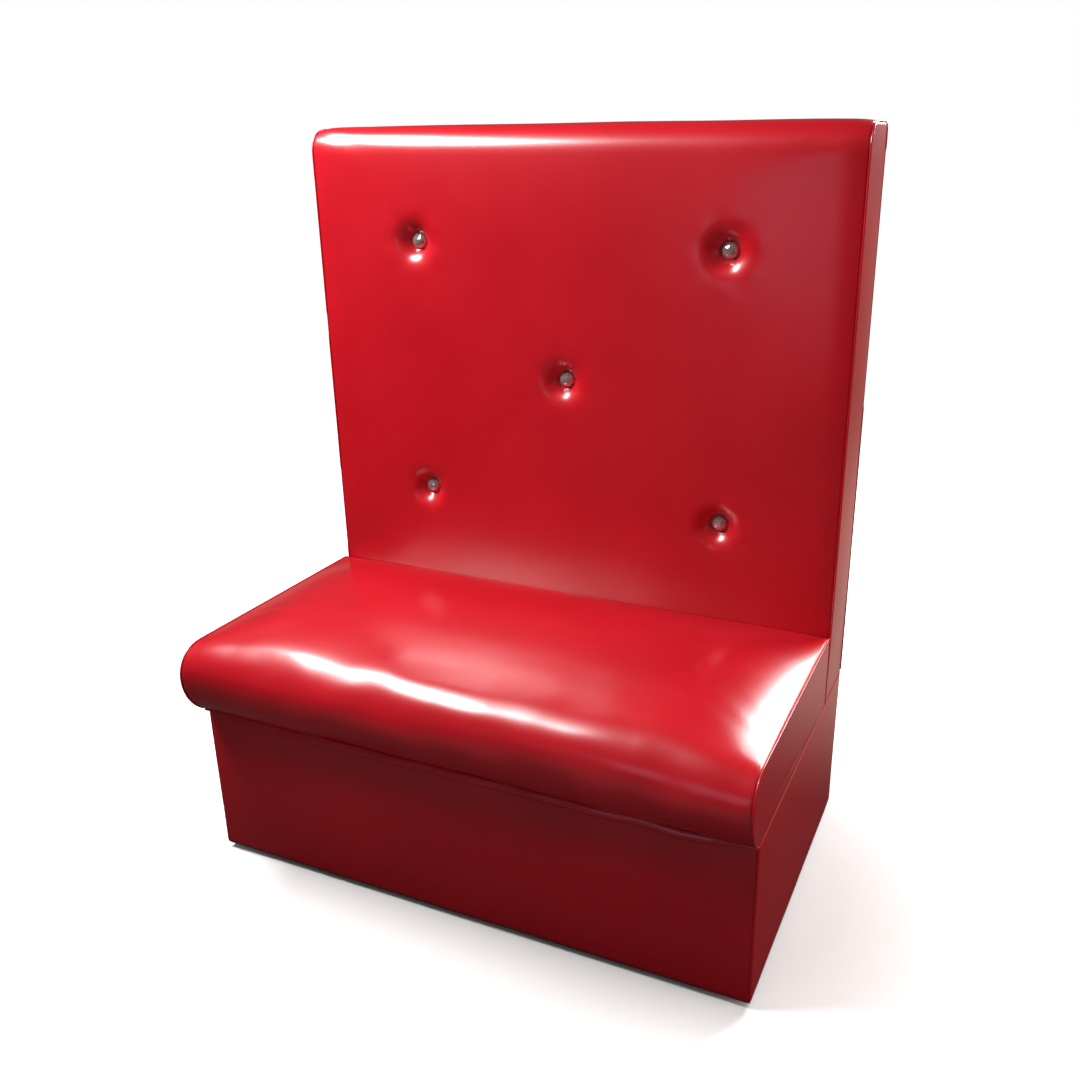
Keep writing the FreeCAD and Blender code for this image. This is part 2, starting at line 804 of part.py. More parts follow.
def build_bench():
    fasteners = build_fasteners()
    twines = build_twines()
    fasteners["tuft_twines"] = twines
    pieces = build_base_frame(fasteners)
    pieces.append(build_feet(fasteners))
    pieces += build_base_cover()
    pieces += build_back_frame(fasteners)
    pieces += build_back_soft(fasteners)
    pieces += build_buttons(twines)
    pieces += build_seat(fasteners)
    return pieces + list(fasteners.values())


def check(pieces):
    """Stops on any object that did not build and on any piece that is not sound."""
    for item in doc.Objects:
        if "Invalid" in item.State or "Error" in item.State:
            raise RuntimeError("%s did not build: %s" % (item.Label, item.State))
    for piece in pieces:
        shape = piece.Shape
        if shape.isNull() or not shape.isValid() or not shape.Solids:
            raise RuntimeError("%s has no sound solid" % piece.Label)


def export(pieces):
    os.makedirs("parts", exist_ok=True)
    for piece in pieces:
        piece.Shape.exportStep("parts/%s.step" % piece.Label)


bench = build_bench()
doc.recompute()
check(bench)
export(bench)
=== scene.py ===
import json
import math

import bmesh
import bpy
import numpy as np
from bpy.props import FloatProperty, FloatVectorProperty, PointerProperty
from mathutils import Matrix, Vector, noise


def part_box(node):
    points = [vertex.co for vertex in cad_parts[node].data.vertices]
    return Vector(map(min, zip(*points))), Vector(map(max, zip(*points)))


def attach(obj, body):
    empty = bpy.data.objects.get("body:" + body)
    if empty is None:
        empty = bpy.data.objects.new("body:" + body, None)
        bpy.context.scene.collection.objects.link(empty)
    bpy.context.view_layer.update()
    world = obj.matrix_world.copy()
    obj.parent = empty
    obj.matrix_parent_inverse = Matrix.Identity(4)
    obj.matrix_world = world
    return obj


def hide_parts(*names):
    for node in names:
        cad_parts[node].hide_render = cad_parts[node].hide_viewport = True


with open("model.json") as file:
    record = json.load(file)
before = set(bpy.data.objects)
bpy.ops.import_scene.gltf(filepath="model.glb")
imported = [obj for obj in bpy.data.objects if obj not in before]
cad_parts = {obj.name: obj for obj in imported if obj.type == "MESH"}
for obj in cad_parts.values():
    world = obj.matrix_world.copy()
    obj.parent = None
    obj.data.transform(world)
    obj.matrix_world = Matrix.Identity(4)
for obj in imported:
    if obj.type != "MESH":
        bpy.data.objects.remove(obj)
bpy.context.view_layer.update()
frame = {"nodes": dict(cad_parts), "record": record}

bl_info = {
    "name": "Dining booth bench",
    "version": (1, 0, 0),
    "blender": (4, 5, 0),
    "location": "3D View > Sidebar > Bench",
    "description": "Dresses the CAD frame of a tufted booth bench in glossy leatherette",
    "category": "Object",
}

# The CAD boxes that the dressed pieces fill.
MM = 0.001
TINY = 0.1 * MM
BACK_LOW, BACK_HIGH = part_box("back_cover")
SEAT_LOW, SEAT_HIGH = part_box("seat_cover")
BASE_LOW, BASE_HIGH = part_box("base_cover")
LINING_LOW, LINING_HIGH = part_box("rear_lining")
STONES_LOW, STONES_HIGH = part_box("button_crystals")
CUPS_LOW, CUPS_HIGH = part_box("button_cups")
HALF_WIDTH = BACK_HIGH.x
BACK_MIDDLE = (BACK_LOW.y + BACK_HIGH.y) / 2


def linear(code):
    """An sRGB hex colour as linear light, by the standard's curve."""
    channels = [int(code[i:i + 2], 16) / 255 for i in (1, 3, 5)]
    return tuple(c / 12.92 if c <= 0.04045 else ((c + 0.055) / 1.055) ** 2.4 for c in channels)


def length(title, millimetres, meaning):
    return FloatProperty(
        name=title, description=meaning, default=millimetres * MM, min=0, precision=4, unit="LENGTH"
    )


def colour(title, code, meaning):
    return FloatVectorProperty(
        name=title, description=meaning, default=linear(code), min=0, max=1, subtype="COLOR"
    )


class BenchSizes(bpy.types.PropertyGroup):
    """Sizes of the covers, the seams and the small pieces"""
    grid: length("Cloth grid", 11, "Spacing of the cover's mesh before it is smoothed")
    roll: length("Front roll", 45, "Round of the back's top front edge")
    rear_roll: length("Rear roll", 20, "Round of the back's top rear edge")
    nose: length("Nose round", 55, "Upper round of the seat's front")
    tuck: length("Nose tuck", 48, "How far the nose turns back under itself")
    tuck_fade: length("Tuck fade", 150, "How far behind the nose the tuck is felt")
    crown: length("Seat crown", 38, "Rise of the seat from its end seams to its middle")
    cad_crown: length("CAD crown", 36, "Rise of the CAD seat over its end seams")
    shoulder: length("Seat shoulder", 160, "End seam to where the crown has risen")
    crown_run: length("Crown run", 140, "Back face to where the crown has risen at the ends")
    slow_run: length("Slow run", 220, "Back face to where the crown has risen in the middle")
    fall_run: length("Fall run", 215, "Nose to where the crown begins to fall")
    back_fill: length("Back fill", 6, "Most that the back swells")
    seat_fill: length("Seat fill", 6, "Most that the seat swells")
    base_fill: length("Base fill", 2.5, "Most that the base cover swells")
    edge_ease: length("Edge ease", 45, "End seam of the back to where its front lies flat")
    edge_drop: length("Edge drop", 5, "How far the back's front falls away to its end seams")
    end_fill: length("End fill", 5, "How far the back's end panels stand out in their middle")
    end_ease: length("End ease", 240, "Foot or top of an end panel to where it stands out in full")
    hem: length("Hem", 6, "Radius of the hem along the foot of the nose, before it is flattened")
    hem_wave: length("Hem wave", 75, "From one gather of the hem to the next")
    tuft_rim: length("Tuft rim", 82, "Radius at which a tuft begins")
    tuft_floor: length("Tuft floor", 17, "Radius of a tuft's floor")
    tuft_sink: length("Tuft depth", 22, "Depth of a tuft")
    base_corner: length("Base corner", 7.2, "Soft corners of the base")
    turn_in: length("Turn in", 30, "Cover turned in over an edge")
    vinyl: length("Cover", 1.2, "Cover thickness")
    seam: length("Seam ridge", 1.7, "Radius of a raised seam")
    stitch: length("Stitch", 4.6, "Length of a stitch")
    stitch_gap: length("Stitch pitch", 7.5, "From one stitch to the next")
    stitch_inset: length("Stitch inset", 6.5, "From the end seam to the stitches")
    thread: length("Thread", 0.7, "Radius of the thread")
    stone: length("Stone", 15, "Radius of a crystal at its girdle")
    staple: length("Staple", 10, "Width of a staple")
    staple_gap: length("Staple pitch", 55, "From one staple to the next")


class BenchColours(bpy.types.PropertyGroup):
    """Colours of the bench's finishes and of the floor"""
    vinyl: colour("Leatherette", "#C41020", "Red of the cover")
    vinyl_deep: colour("Leatherette, deep", "#AE0C1A", "Red of the cover's darker clouds")
    thread: colour("Thread", "#7A0D14", "Sewing thread")
    lining: colour("Lining", "#17171A", "Non-woven cloth behind the back")
    stone: colour("Crystal", "#F2EFEA", "Cut glass")
    plating: colour("Plating", "#D9D6D0", "Bright plated cups")
    plywood: colour("Plywood", "#C9A577", "Boards")
    timber: colour("Timber", "#B98D5C", "Sawn posts and rails")
    steel: colour("Zinc", "#A9ABAE", "Screws, bolts and staples")
    plastic: colour("Glides", "#141415", "Moulded feet")
    twine: colour("Twine", "#C4B593", "Waxed button twine")
    floor: colour("Floor", "#F4F3F2", "Studio floor")
    # Painted reflection: colour of a glow painted on the floor behind the bench, which only the gloss sees
    # and which gives the bench's ends warm pale patches.
    floor_painted_reflection: colour("Floor, mirrored", "#E9CDBB", "Floor behind the bench as the gloss mirrors it")


def sizes():
    return bpy.context.scene.bench_sizes


def colours():
    return bpy.context.scene.bench_colours


# Modelling helpers, each a step that a modeller takes by hand.

def deselect():
    if bpy.context.view_layer.objects.active and bpy.context.mode != "OBJECT":
        bpy.ops.object.mode_set(mode="OBJECT")
    bpy.ops.object.select_all(action="DESELECT")


def take(piece):
    """Makes a piece the only one selected."""
    deselect()
    piece.select_set(True)
    bpy.context.view_layer.objects.active = piece
    return piece


def edit(piece):
    take(piece)
    bpy.ops.object.mode_set(mode="EDIT")


def leave_edit():
    bpy.ops.object.mode_set(mode="OBJECT")


def named(name):
    piece = bpy.context.object
    piece.name = name
    piece.data.name = name
    return piece


def pick(piece, kind, test):
    """In edit mode, selects the faces, edges or vertices that pass a test."""
    modes = {"verts": "VERT", "edges": "EDGE", "faces": "FACE"}
    bpy.ops.mesh.select_mode(type=modes[kind])
    bpy.ops.mesh.select_all(action="DESELECT")
    mesh = bmesh.from_edit_mesh(piece.data)
    for item in getattr(mesh, kind):
        if test(item):
            item.select_set(True)
    bmesh.update_edit_mesh(piece.data)


def apply_modifier(piece, kind, **settings):
    take(piece)
    modifier = piece.modifiers.new(kind.lower(), kind)
    for name, value in settings.items():
        setattr(modifier, name, value)
    bpy.ops.object.modifier_apply(modifier=modifier.name)


def apply_place():
    """Puts the active piece's place, turn and scale into its mesh."""
    bpy.ops.object.transform_apply(location=True, rotation=True, scale=True)


def add_block(name, low, high):
    """A cube at a size and place, with the place in its mesh."""
    deselect()
    bpy.ops.mesh.primitive_cube_add(size=1, location=(low + high) / 2)
    piece = named(name)
    piece.scale = high - low
    apply_place()
    return piece


ALONG_SHARE = 0.9


def cut_along(piece, axis, spacing):
    """Divides the edges that run along an axis into lengths of about a spacing."""
    def runs(edge):
        way = edge.verts[1].co - edge.verts[0].co
        return abs(way[axis]) > ALONG_SHARE * way.length and way.length > 2 * spacing

    edit(piece)
    pick(piece, "edges", runs)
    mesh = bmesh.from_edit_mesh(piece.data)
    longest = max(edge.calc_length() for edge in mesh.edges if edge.select)
    bpy.ops.mesh.subdivide(number_cuts=round(longest / spacing) - 1)
    leave_edit()


def padded_block(name, low, high):
    """A cube divided evenly all over, ready to be shaped as a cushion."""
    piece = add_block(name, low, high)
    for axis in range(3):
        cut_along(piece, axis, sizes().grid)
    return piece


def read_vertices(piece, what):
    values = np.empty(len(piece.data.vertices) * 3)
    piece.data.vertices.foreach_get(what, values)
    return values.reshape(-1, 3)


def points_of(piece):
    return read_vertices(piece, "co")


def move_points(piece, points):
    piece.data.vertices.foreach_set("co", points.ravel())
    piece.data.update()


def risen(values, run):
    """A share that grows from 0 to 1 over a run, and stays there."""
    return np.clip(values / run, 0, 1)


def from_ends(points):
    """How far each point lies inside the nearer end plane."""
    return HALF_WIDTH - np.abs(points[:, 0])


def round_edge(points, centre, outward, radius):
    """Turns a square corner of the side outline, in Y and Z, into a round one."""
    out = (points[:, 1:] - np.array(centre)) * outward / radius
    inside = (out > 0).all(axis=1)
    square = out[inside].max(axis=1)
    reach = np.linalg.norm(out[inside], axis=1)
    turned = out[inside] * (square / reach)[:, None] * radius
    points[inside, 1:] = np.array(centre) + turned * outward


def crease_edges(piece, test, strength):
    """Keeps sewn edges crisp when the cover is smoothed."""
    edit(piece)
    pick(piece, "edges", test)
    bpy.ops.transform.edge_crease(value=strength)
    leave_edit()


SWELL_FRAMES = 20
PRESSURE = 4


def swell(piece, held, cap):
    """Fills a cover by cloth simulation, held where it is sewn, and keeps it to a cap."""
    before = points_of(piece)
    group = piece.vertex_groups.new(name="held")
    group.add(np.flatnonzero(held).tolist(), 1, "REPLACE")
    take(piece)
    cloth = piece.modifiers.new("stuffing", "CLOTH")
    cloth.settings.use_pressure = True
    cloth.settings.uniform_pressure_force = PRESSURE
    cloth.settings.vertex_group_mass = group.name
    cloth.settings.effector_weights.gravity = 0
    cloth.collision_settings.use_collision = False
    for step in range(1, SWELL_FRAMES + 1):
        bpy.context.scene.frame_set(step)
    bpy.ops.object.modifier_apply(modifier=cloth.name)
    bpy.context.scene.frame_set(1)
    moved = points_of(piece) - before
    furthest = np.linalg.norm(moved, axis=1).max()
    move_points(piece, before + moved * min(1, cap / furthest))
    piece.vertex_groups.clear()


def smooth_cover(piece):
    apply_modifier(piece, "SUBSURF", levels=1, render_levels=1)


# How loose vinyl lies: height of its ripples, from one to the next, and the start of their noise.
BACK_RIPPLE = (1.0 * MM, 170 * MM, 3)
NOSE_RIPPLE = (4 * MM, 85 * MM, 8)
SEAT_RIPPLE = (1.2 * MM, 210 * MM, 15)
BASE_RIPPLE = (0.8 * MM, 190 * MM, 21)


def ripple(piece, weights, height, wavelength, start):
    """Moves a cover in and out along its normals by a smooth noise."""
    points = points_of(piece)
    normals = read_vertices(piece, "normal")
    shift = Vector((start, start, start))
    waves = np.zeros(len(points))
    for index in np.flatnonzero(weights > 0):
        waves[index] = noise.noise(Vector(points[index] / wavelength) + shift)
    move_points(piece, points + normals * (waves * weights * height)[:, None])


def shade_smooth(piece):
    take(piece)
    bpy.ops.object.shade_smooth()


def finish_piece(piece, material, slot, *nodes):
    """Gives a finished piece its material and its body, and hides the CAD nodes that it stands for."""
    piece.data.materials.clear()
    piece.data.materials.append(material)
    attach(piece, "root")
    if nodes:
        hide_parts(*nodes)


# Materials.

def add_node(tree, kind, links=None, inputs=None, **settings):
    """Adds a shader node with its settings, its socket values and its links."""
    node = tree.nodes.new("ShaderNode" + kind)
    for name, value in settings.items():
        setattr(node, name, value)
    for name, value in (inputs or {}).items():
        node.inputs[name].default_value = value
    for name, socket in (links or {}).items():
        tree.links.new(socket, node.inputs[name])
    return node


def new_material(name):
    """An empty node material with its Object coordinates."""
    material = bpy.data.materials.new(name)
    material.use_nodes = True
    tree = material.node_tree
    tree.nodes.clear()
    place = add_node(tree, "TexCoord").outputs["Object"]
    return material, tree, place


def opaque(rgb):
    return (*rgb, 1)


def leatherette():
    """PVC leatherette: calendered vinyl with a pressed grain and a clear gloss coat.

    The coat gives tight white highlights over a broader sheen, and the grain only dulls them a little.
    The real grain is about 1 mm; it is drawn at 2.4 mm so that it shows.
    """
    cloud, grain, wave, relief = 180 * MM, 2.4 * MM, 9 * MM, 0.25 * MM
    material, tree, place = new_material("pvc_leatherette_red")
    clouds = add_node(tree, "TexNoise", {"Vector": place}, {"Scale": 1 / cloud, "Detail": 2})
    # A Mix node's colours are its inputs 6 and 7 and its output 2.
    reds = {6: opaque(colours().vinyl_deep), 7: opaque(colours().vinyl)}
    tint = add_node(tree, "Mix", {"Factor": clouds.outputs["Fac"]}, reds, data_type="RGBA")
    cells = {"Scale": 1 / grain, "Smoothness": 0.6}
    grains = add_node(tree, "TexVoronoi", {"Vector": place}, cells, feature="SMOOTH_F1")
    waves = add_node(tree, "TexNoise", {"Vector": place}, {"Scale": 1 / wave, "Detail": 3})
    both = {0: grains.outputs["Distance"], 1: waves.outputs["Fac"]}
    height = add_node(tree, "Math", both, operation="ADD")
    bump = add_node(tree, "Bump", {"Height": height.outputs[0]}, {"Strength": 0.12, "Distance": relief})
    gloss = add_node(tree, "MapRange", {"Value": clouds.outputs["Fac"]}, {"To Min": 0.27, "To Max": 0.35})
    shader = add_node(
        tree, "BsdfPrincipled",
        {"Base Color": tint.outputs[2], "Roughness": gloss.outputs[0], "Normal": bump.outputs[0]},
        {"IOR": 1.53, "Coat Weight": 0.6, "Coat Roughness": 0.225, "Coat IOR": 1.5},
    )
    add_node(tree, "OutputMaterial", {"Surface": shader.outputs[0]})
    return material


def strand(name, rgb, ply, wander, relief, finish):
    """Plies laid together: raised diagonal bands, each a ply wide."""
    material, tree, place = new_material(name)
    bands = {"Scale": 1 / ply, "Distortion": wander}
    plies = add_node(tree, "TexWave", {"Vector": place}, bands, bands_direction="DIAGONAL")
    bump = add_node(tree, "Bump", {"Height": plies.outputs["Fac"]}, relief)
    finish["Base Color"] = opaque(rgb)
    shader = add_node(tree, "BsdfPrincipled", {"Normal": bump.outputs[0]}, finish)
    add_node(tree, "OutputMaterial", {"Surface": shader.outputs[0]})
    return material


def sewing_thread():
    """Twisted polyester thread: a matt strand with fine diagonal plies, drawn coarse so that they show."""
    ply = 6 * MM
    relief = {"Strength": 0.4, "Distance": 0.2 * MM}
    finish = {"Roughness": 0.6, "Sheen Weight": 0.2}
    return strand("polyester_thread", colours().thread, ply, 1, relief, finish)


def waxed_twine():
    """Waxed flax twine: plies laid together, a little shiny with wax, drawn coarse so that they show."""
    ply = 8 * MM
    relief = {"Strength": 0.5, "Distance": 0.4 * MM}
    return strand("waxed_twine", colours().twine, ply, 2, relief, {"Roughness": 0.55})


def polished(name, rgb, mark, detail, gloss, finish):
    """A smooth surface whose gloss varies with fine marks, drawn coarse so that they show."""
    material, tree, place = new_material(name)
    marks = add_node(tree, "TexNoise", {"Vector": place}, {"Scale": 1 / mark, "Detail": detail})
    low, high = gloss
    rough = add_node(tree, "MapRange", {"Value": marks.outputs["Fac"]}, {"To Min": low, "To Max": high})
    finish["Base Color"] = opaque(rgb)
    shader = add_node(tree, "BsdfPrincipled", {"Roughness": rough.outputs[0]}, finish)
    add_node(tree, "OutputMaterial", {"Surface": shader.outputs[0]})
    return material


def cut_glass():
    """Pressed crystal glass with a mirrored back: flat facets that flash, and faint polishing marks."""
    mark = 4 * MM
    finish = {"IOR": 1.6, "Transmission Weight": 0.6, "Metallic": 0.6}
    return polished("crystal_glass", colours().stone, mark, 2, (0.01, 0.05), finish)


def bright_plating():
    """Nickel-plated brass sheet: a mirror with fine scratches."""
    scratch = 2 * MM
    return polished("nickel_plating", colours().plating, scratch, 4, (0.08, 0.22), {"Metallic": 1})


def zinc_plate():
    """Zinc-plated steel: grey metal with a cloudy passivated film."""
    film = 5 * MM
    return polished("zinc_plated_steel", colours().steel, film, 3, (0.28, 0.5), {"Metallic": 1})


def lining_cloth():
    """Spun-bonded black cloth: pressed fibres with a point-bond pattern, dull and a little fuzzy.

    The fibres and the bonds are drawn coarse so that they show.
    """
    fibre, bond, relief = 3 * MM, 4 * MM, 0.4 * MM
    material, tree, place = new_material("non_woven_cloth")
    web = {"Scale": 1 / fibre, "Detail": 6, "Roughness": 0.7}
    fibres = add_node(tree, "TexNoise", {"Vector": place}, web)
    bonds = add_node(tree, "TexVoronoi", {"Vector": place}, {"Scale": 1 / bond, "Randomness": 0.1})
    both = {0: fibres.outputs["Fac"], 1: bonds.outputs["Distance"]}
    height = add_node(tree, "Math", both, operation="ADD")
    bump = add_node(tree, "Bump", {"Height": height.outputs[0]}, {"Strength": 0.5, "Distance": relief})
    black = {"Color": opaque(colours().lining), "Fac": 1}
    tone = add_node(tree, "HueSaturation", {"Value": fibres.outputs["Fac"]}, black)
    shader = add_node(
        tree, "BsdfPrincipled", {"Base Color": tone.outputs[0], "Normal": bump.outputs[0]},
        {"Roughness": 0.9, "Sheen Weight": 0.15},
    )
    add_node(tree, "OutputMaterial", {"Surface": shader.outputs[0]})
    return material


def wood(name, rgb, ring, stretch):
    """Sawn wood: bands of early and late growth stretched along the grain, with a dry, open surface.

    The bands and the pores are drawn coarse so that they show.
    """
    pore, relief = 2 * MM, 0.3 * MM
    material, tree, place = new_material(name)
    along = add_node(tree, "Mapping", {"Vector": place}, {"Scale": stretch}).outputs[0]
    growth = {"Scale": 1 / ring, "Distortion": 6, "Detail": 3}
    bands = add_node(tree, "TexWave", {"Vector": along}, growth)
    pores = add_node(tree, "TexNoise", {"Vector": along}, {"Scale": 1 / pore, "Detail": 4}).outputs["Fac"]
    mixed = add_node(tree, "Math", {0: bands.outputs["Fac"], 1: pores}, operation="MULTIPLY")
    tone = add_node(tree, "MapRange", {"Value": mixed.outputs[0]}, {"To Min": 1.1, "To Max": 0.7})
    tint = add_node(tree, "HueSaturation", {"Value": tone.outputs[0]}, {"Color": opaque(rgb), "Fac": 1})
    bump = add_node(tree, "Bump", {"Height": pores}, {"Strength": 0.3, "Distance": relief})
    links = {"Base Color": tint.outputs[0], "Normal": bump.outputs[0]}
    shader = add_node(tree, "BsdfPrincipled", links, {"Roughness": 0.75})
    add_node(tree, "OutputMaterial", {"Surface": shader.outputs[0]})
    return material


def moulded_plastic():
    """Injection-moulded polypropylene: a spark-eroded texture, drawn coarse to show, and a soft shine."""
    spark, relief = 1.5 * MM, 0.2 * MM
    material, tree, place = new_material("moulded_polypropylene")
    texture = add_node(tree, "TexNoise", {"Vector": place}, {"Scale": 1 / spark, "Detail": 2})
    bump = add_node(tree, "Bump", {"Height": texture.outputs["Fac"]}, {"Strength": 0.2, "Distance": relief})
    finish = {"Base Color": opaque(colours().plastic), "Roughness": 0.45, "IOR": 1.49}
    shader = add_node(tree, "BsdfPrincipled", {"Normal": bump.outputs[0]}, finish)
    add_node(tree, "OutputMaterial", {"Surface": shader.outputs[0]})
    return material


MATERIALS = {}


def material_of(make, *values):
    """Makes each material once."""
    key = (make.__name__, *map(str, values[:1]))
    if key not in MATERIALS:
        MATERIALS[key] = make(*values)
    return MATERIALS[key]


def finish_cover(piece, *nodes):
    finish_piece(piece, material_of(leatherette), "red_vinyl", *nodes)


# Back.

def tuft_places():
    """The five buttons: two rows of two and one in the middle, as (x, z)."""
    radius = sizes().stone
    reach = STONES_HIGH.x - radius
    upper = STONES_HIGH.z - radius
    lower = STONES_LOW.z + radius
    middle = (upper + lower) / 2
    return [(-reach, upper), (reach, upper), (0, middle), (-reach, lower), (reach, lower)]


TUFT_POWER = 4.5
PULLS = 6
PULL_HEIGHT = 0.3 * MM
FINE_MESH_SHARE = 0.65


def press_tufts(piece):
    """Presses a dimple under each button, with small pulls in the vinyl round it."""
    points = points_of(piece)
    rim, floor, sink = sizes().tuft_rim, sizes().tuft_floor, sizes().tuft_sink
    for number, (x, z) in enumerate(tuft_places()):
        across = points[:, 0] - x
        up = points[:, 2] - z
        distance = np.hypot(across, up)
        near = (distance < rim) & (points[:, 1] < BACK_MIDDLE)
        share = risen(rim - distance[near], rim - floor)
        turn = np.arctan2(up[near], across[near])
        # The last three factors come to 1 halfway between the rim and the floor.
        pulls = np.cos(PULLS * turn + number) * PULL_HEIGHT * share * (1 - share) * 4
        points[near, 1] += sink * share ** TUFT_POWER + pulls
    move_points(piece, points)


def refine_tufts(piece):
    """Divides the faces round each button once more."""
    places = tuft_places()
    reach = sizes().tuft_rim * FINE_MESH_SHARE

    def close(face):
        middle = face.calc_center_median()
        if middle.y > BACK_MIDDLE:
            return False
        return any(math.hypot(middle.x - x, middle.z - z) < reach for x, z in places)

    edit(piece)
    pick(piece, "faces", close)
    bpy.ops.mesh.subdivide(number_cuts=1)
    leave_edit()


TURNED_AWAY_SHARE = 0.5


def on_side(vert):
    return abs(vert.co.x) > HALF_WIDTH - TINY


def on_ends(edge):
    """An edge along the outline of one of the two end panels."""
    if not all(map(on_side, edge.verts)):
        return False
    return any(abs(face.normal.x) < TURNED_AWAY_SHARE for face in edge.link_faces)


def on_foot(edge):
    """An edge round the back's underside, which sits on the base."""
    if not all(vert.co.z < BACK_LOW.z + TINY for vert in edge.verts):
        return False
    return any(abs(face.normal.z) < TURNED_AWAY_SHARE for face in edge.link_faces)


def sewn(points, low, high):
    """Marks the ends, the rear and the bottom of a cushion, where its cover is held."""
    ends = from_ends(points) < TINY
    rear = points[:, 1] > high.y - TINY
    bottom = points[:, 2] < low.z + TINY
    return ends | rear | bottom


def ease_edges(points):
    """Lets the back's front and top fall away to the end seams, where the cover is pulled tight."""
    roll = sizes().roll
    close = (1 - risen(from_ends(points), sizes().edge_ease)) ** 2
    forward = risen(BACK_MIDDLE - points[:, 1], BACK_MIDDLE - BACK_LOW.y)
    upward = risen(points[:, 2] - BACK_HIGH.z + roll, roll)
    points[:, 1] += sizes().edge_drop * close * forward
    points[:, 2] -= sizes().edge_drop * close * upward


END_SKIN = 2 * MM


def swell_ends(piece):
    """Rounds the back's end panels outwards over their padding."""
    points = points_of(piece)
    across = np.clip(1 - ((points[:, 1] - BACK_MIDDLE) / (BACK_HIGH.y - BACK_MIDDLE)) ** 2, 0, 1)
    inward = np.minimum(points[:, 2] - BACK_LOW.z, BACK_HIGH.z - points[:, 2])
    along = np.sin(np.pi / 2 * risen(inward, sizes().end_ease)) ** 2
    on_end = 1 - risen(from_ends(points) - END_SKIN, END_SKIN)
    points[:, 0] += np.sign(points[:, 0]) * sizes().end_fill * across * along * on_end
    move_points(piece, points)


SEAM_CREASE = 0.75
HELD_EDGE = 5 * MM
HELD_LOOSE_SHARE = 0.4


def ripple_back(piece):
    """Ripples the back's front and top, less along the end seams and not at the rear."""
    points = points_of(piece)
    loose = np.where(from_ends(points) < HELD_EDGE, HELD_LOOSE_SHARE, 1.0)
    loose[points[:, 1] > BACK_HIGH.y - HELD_EDGE] = 0
    ripple(piece, loose, *BACK_RIPPLE)


def build_back():
    """The back: a slab with a rolled top and sewn sides, swelled, smoothed and buttoned."""
    piece = padded_block("back_cushion", BACK_LOW, BACK_HIGH)
    points = points_of(piece)
    roll, turn = sizes().roll, sizes().rear_roll
    round_edge(points, (BACK_LOW.y + roll, BACK_HIGH.z - roll), (-1, 1), roll)
    round_edge(points, (BACK_HIGH.y - turn, BACK_HIGH.z - turn), (1, 1), turn)
    ease_edges(points)
    move_points(piece, points)
    crease_edges(piece, on_ends, SEAM_CREASE)
    crease_edges(piece, on_foot, 1)
    swell(piece, sewn(points, BACK_LOW, BACK_HIGH), sizes().back_fill)
    smooth_cover(piece)
    swell_ends(piece)
    refine_tufts(piece)
    press_tufts(piece)
    ripple_back(piece)
    shade_smooth(piece)
    finish_cover(piece, "back_cover", "back_foam", "back_left_padding", "back_right_padding")


# Seat.

def seat_edge():
    """Height of the seat's end seams."""
    return SEAT_HIGH.z - sizes().cad_crown


def tuck_round():
    """Radius of the nose's lower round, and the height that it falls through."""
    drop = seat_edge() - sizes().nose - SEAT_LOW.z
    return (sizes().tuck ** 2 + drop ** 2) / (2 * sizes().tuck), drop


def shape_nose(points):
    """Rounds the seat's front over and tucks it back under."""
    nose = sizes().nose
    widest = seat_edge() - nose
    radius, drop = tuck_round()
    below = np.clip(widest - points[:, 2], 0, drop)
    back = radius - np.sqrt(radius ** 2 - below ** 2)
    felt = 1 - risen(points[:, 1] - SEAT_LOW.y, sizes().tuck_fade)
    points[:, 1] += back * felt
    round_edge(points, (SEAT_LOW.y + nose, widest), (-1, 1), nose)


CROWN_FALL_SHARE = 0.9


def raise_crown(points):
    """Lifts the seat's top: up from the back and the end seams, and down again towards the nose."""
    inward = risen(from_ends(points), sizes().shoulder)
    run = sizes().crown_run + (sizes().slow_run - sizes().crown_run) * inward ** 2
    forward = risen(SEAT_HIGH.y - points[:, 1], run)
    fall = risen(SEAT_LOW.y + sizes().fall_run - points[:, 1], sizes().fall_run)
    rise = np.sin(np.pi / 2 * inward) * np.sin(np.pi / 2 * forward) * (1 - CROWN_FALL_SHARE * fall ** 2)
    depth = risen(points[:, 2] - SEAT_LOW.z, seat_edge() - SEAT_LOW.z)
    points[:, 2] += sizes().crown * rise * depth ** 2


# The crease on each end of the seat: where it starts and ends, as (y, z), and its form.
FOLD_START = (132 * MM, 313 * MM)
FOLD_END = (-213 * MM, 352 * MM)
FOLD_DEPTH = 1.6 * MM
FOLD_WIDTH = 7 * MM
FOLD_SKIN = 4 * MM


def press_fold(piece):
    """Presses the crease that runs along each end panel, from the base line up towards the nose."""
    points = points_of(piece)
    start = np.array(FOLD_START)
    way = np.array(FOLD_END) - start
    share = np.clip((points[:, 1:] - start) @ way / (way @ way), 0, 1)
    distance = np.linalg.norm(points[:, 1:] - start - share[:, None] * way, axis=1)
    on_end = from_ends(points) < FOLD_SKIN
    pressed = FOLD_DEPTH * np.exp(-(distance / FOLD_WIDTH) ** 2) * np.sin(np.pi * share) * on_end
    points[:, 0] -= np.sign(points[:, 0]) * pressed
    move_points(piece, points)


NOSE_LOOSE_REACH = 160 * MM
NOSE_LOOSE_FADE = 120 * MM
END_LOOSE_FADE = 30 * MM


def ripple_seat(piece):
    """Ripples the seat, most along its nose and not at its end seams."""
    points = points_of(piece)
    front = risen(SEAT_LOW.y + NOSE_LOOSE_REACH - points[:, 1], NOSE_LOOSE_FADE)
    inner = risen(from_ends(points), END_LOOSE_FADE)
    ripple(piece, front * inner, *NOSE_RIPPLE)
    ripple(piece, inner, *SEAT_RIPPLE)


